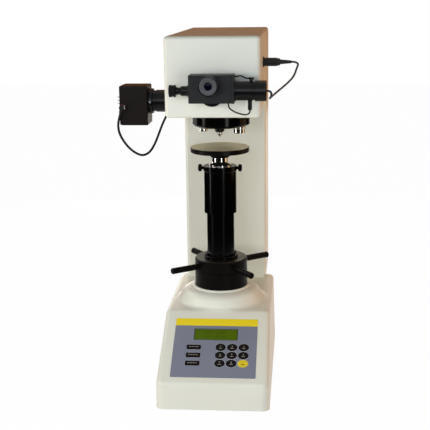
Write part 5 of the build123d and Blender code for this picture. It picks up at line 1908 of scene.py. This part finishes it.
@dataclass
class Studio:
    """Camera, lamps, floor and surroundings.

    Attributes:
        place: Where the tester stands.
        eye: The camera's place.
        yaw: Its turn to the left, in radians.
        pitch: Its tilt down, in radians.
        roll: Its roll, in radians.
        focal_pixels: Focal length in pixels of the picture.
        picture: The picture's width in pixels.
        shift: The lens shift across and up, in picture widths.
        sensor: The sensor's width.
        clip: The nearest and farthest that the camera sees, in metres.
        flag_reach: Distance of the flags from the tester's axis.
        flag_columns: Points along a flag.
        fill: Strength of the warm fill on the tester.
        floor_half: Half the floor's width.
        floor_glow: Share of plain white in the floor where it is seen; the rest takes the shadow.
    """

    place: Placing
    eye: Point = (146.9, -1740.7, 720.7)
    yaw: float = 0.0820
    pitch: float = 0.2300
    roll: float = -0.0110
    focal_pixels: float = 943.2
    picture: float = 430.0
    shift: tuple[float, float] = (-0.0177, 0.0014)
    sensor: float = 36.0
    clip: tuple[float, float] = (0.05, 100.0)
    flag_reach: float = 900.0
    flag_columns: int = 24
    fill: float = 0.02
    floor_half: float = 6000.0
    floor_glow: float = 0.985

    def build(self) -> None:
        """Build the whole studio."""
        self.camera()
        self.world()
        self.floor()
        self.flags()
        for lamp in LAMPS:
            lamp.light(self.place)
        bpy.context.scene.view_settings.view_transform = "Standard"

    def camera(self) -> None:
        """Stand the camera at its place and turn it to the tester."""
        cos_y, sin_y = math.cos(self.yaw), math.sin(self.yaw)
        cos_p, sin_p = math.cos(self.pitch), math.sin(self.pitch)
        forward = Vector((-sin_y * cos_p, cos_y * cos_p, -sin_p))
        level = Vector((cos_y, sin_y, 0.0))
        upright = level.cross(forward)
        right = level * math.cos(self.roll) + upright * math.sin(self.roll)
        up = upright * math.cos(self.roll) - level * math.sin(self.roll)
        lens = bpy.data.cameras.new("camera")
        lens.sensor_fit = "HORIZONTAL"
        lens.sensor_width = self.sensor
        lens.lens = self.focal_pixels / self.picture * self.sensor
        lens.shift_x, lens.shift_y = self.shift
        lens.clip_start, lens.clip_end = self.clip
        camera = bpy.data.objects.new("camera", lens)
        turn = Matrix((right, up, -forward)).transposed().to_4x4()
        camera.matrix_world = Matrix.Translation(self.place.at(self.eye)) @ turn
        bpy.context.scene.collection.objects.link(camera)
        bpy.context.scene.camera = camera

    def world(self) -> None:
        """Surround the tester with white that is seen and reflected, and a dim warm fill."""
        world = bpy.data.worlds.new("studio")
        bpy.context.scene.world = world
        world.use_nodes = True
        tree = world.node_tree
        tree.nodes.clear()
        seen = self.seen_or_reflected(tree)
        fill = add_node(
            tree, "ShaderNodeBackground", {"Color": linear("#F4E4D0"), "Strength": self.fill}
        )
        white = add_node(tree, "ShaderNodeBackground", {"Color": (1, 1, 1, 1), "Strength": 1.0})
        mix = add_node(
            tree, "ShaderNodeMixShader",
            {0: seen, 1: fill.outputs["Background"], 2: white.outputs["Background"]},
        )
        add_node(tree, "ShaderNodeOutputWorld", {"Surface": mix.outputs["Shader"]})

    def seen_or_reflected(self, tree: bpy.types.NodeTree) -> bpy.types.NodeSocket:
        """Give 1 for rays from the camera, a reflection or glass, and 0 for others.

        Args:
            tree: The node tree that takes the nodes.

        Returns:
            The value's socket.
        """
        path = add_node(tree, "ShaderNodeLightPath")
        glossy = add_node(
            tree, "ShaderNodeMath",
            {0: path.outputs["Is Camera Ray"], 1: path.outputs["Is Glossy Ray"]},
            operation="MAXIMUM",
        )
        return add_node(
            tree, "ShaderNodeMath",
            {0: glossy.outputs["Value"], 1: path.outputs["Is Transmission Ray"]},
            operation="MAXIMUM",
        ).outputs["Value"]

    def floor(self) -> None:
        """Lay a pale floor that keeps a faint shadow."""
        half = self.floor_half
        near = [(-half, -half, 0.0), (half, -half, 0.0)]
        far = [(-half, half, 0.0), (half, half, 0.0)]
        floor = surface("floor", self.place.all_at(np.array([near, far])), closed=False)
        material = blank_material("pale_paper")
        tree = material.node_tree
        paper = add_node(tree, "ShaderNodeBsdfDiffuse", {"Color": linear("#F2F1EE")})
        glow = add_node(tree, "ShaderNodeEmission", {"Color": (1, 1, 1, 1), "Strength": 1.0})
        seen = self.seen_or_reflected(tree)
        share = add_node(
            tree, "ShaderNodeMath", {0: seen, 1: self.floor_glow}, operation="MULTIPLY"
        )
        mix = add_node(
            tree, "ShaderNodeMixShader",
            {0: share.outputs["Value"], 1: paper.outputs["BSDF"], 2: glow.outputs["Emission"]},
        )
        add_node(tree, "ShaderNodeOutputMaterial", {"Surface": mix.outputs["Shader"]})
        floor.data.materials.append(material)

    def flags(self) -> None:
        """Stand the flags round the tester: each is a strip of a cylinder round its axis."""
        for number, flag in enumerate(FLAGS):
            angle = np.radians(np.linspace(flag.start, flag.end, self.flag_columns))
            ring = np.stack([np.sin(angle), -np.cos(angle)], axis=-1) * self.flag_reach
            rows = [np.column_stack([ring, np.full(len(ring), z)]) for z in (flag.low, flag.high)]
            strip = surface(f"flag_{number}", self.place.all_at(np.array(rows)), closed=False)
            strip.data.materials.append(flag.cloth.material())
            strip.visible_camera = False
            strip.visible_diffuse = False
            strip.visible_shadow = False


def main() -> None:
    """Build the tester's looks round the frame."""
    logging.basicConfig(level=logging.INFO, format="%(name)s: %(message)s")
    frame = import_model()
    place = Placing(frame)
    nodes = frame["nodes"]
    Studio(place).build()
    Leads(place, nodes).build()
    Housings(place, nodes).build()
    Keypad(place, nodes, Panel(place)).build()
    Spindle(place, nodes).build()
    Turret(place, nodes).build()
    MeasuringHead(place, nodes).build()
    SideCamera(place, nodes).build()


if __name__ == "__main__":
    main()
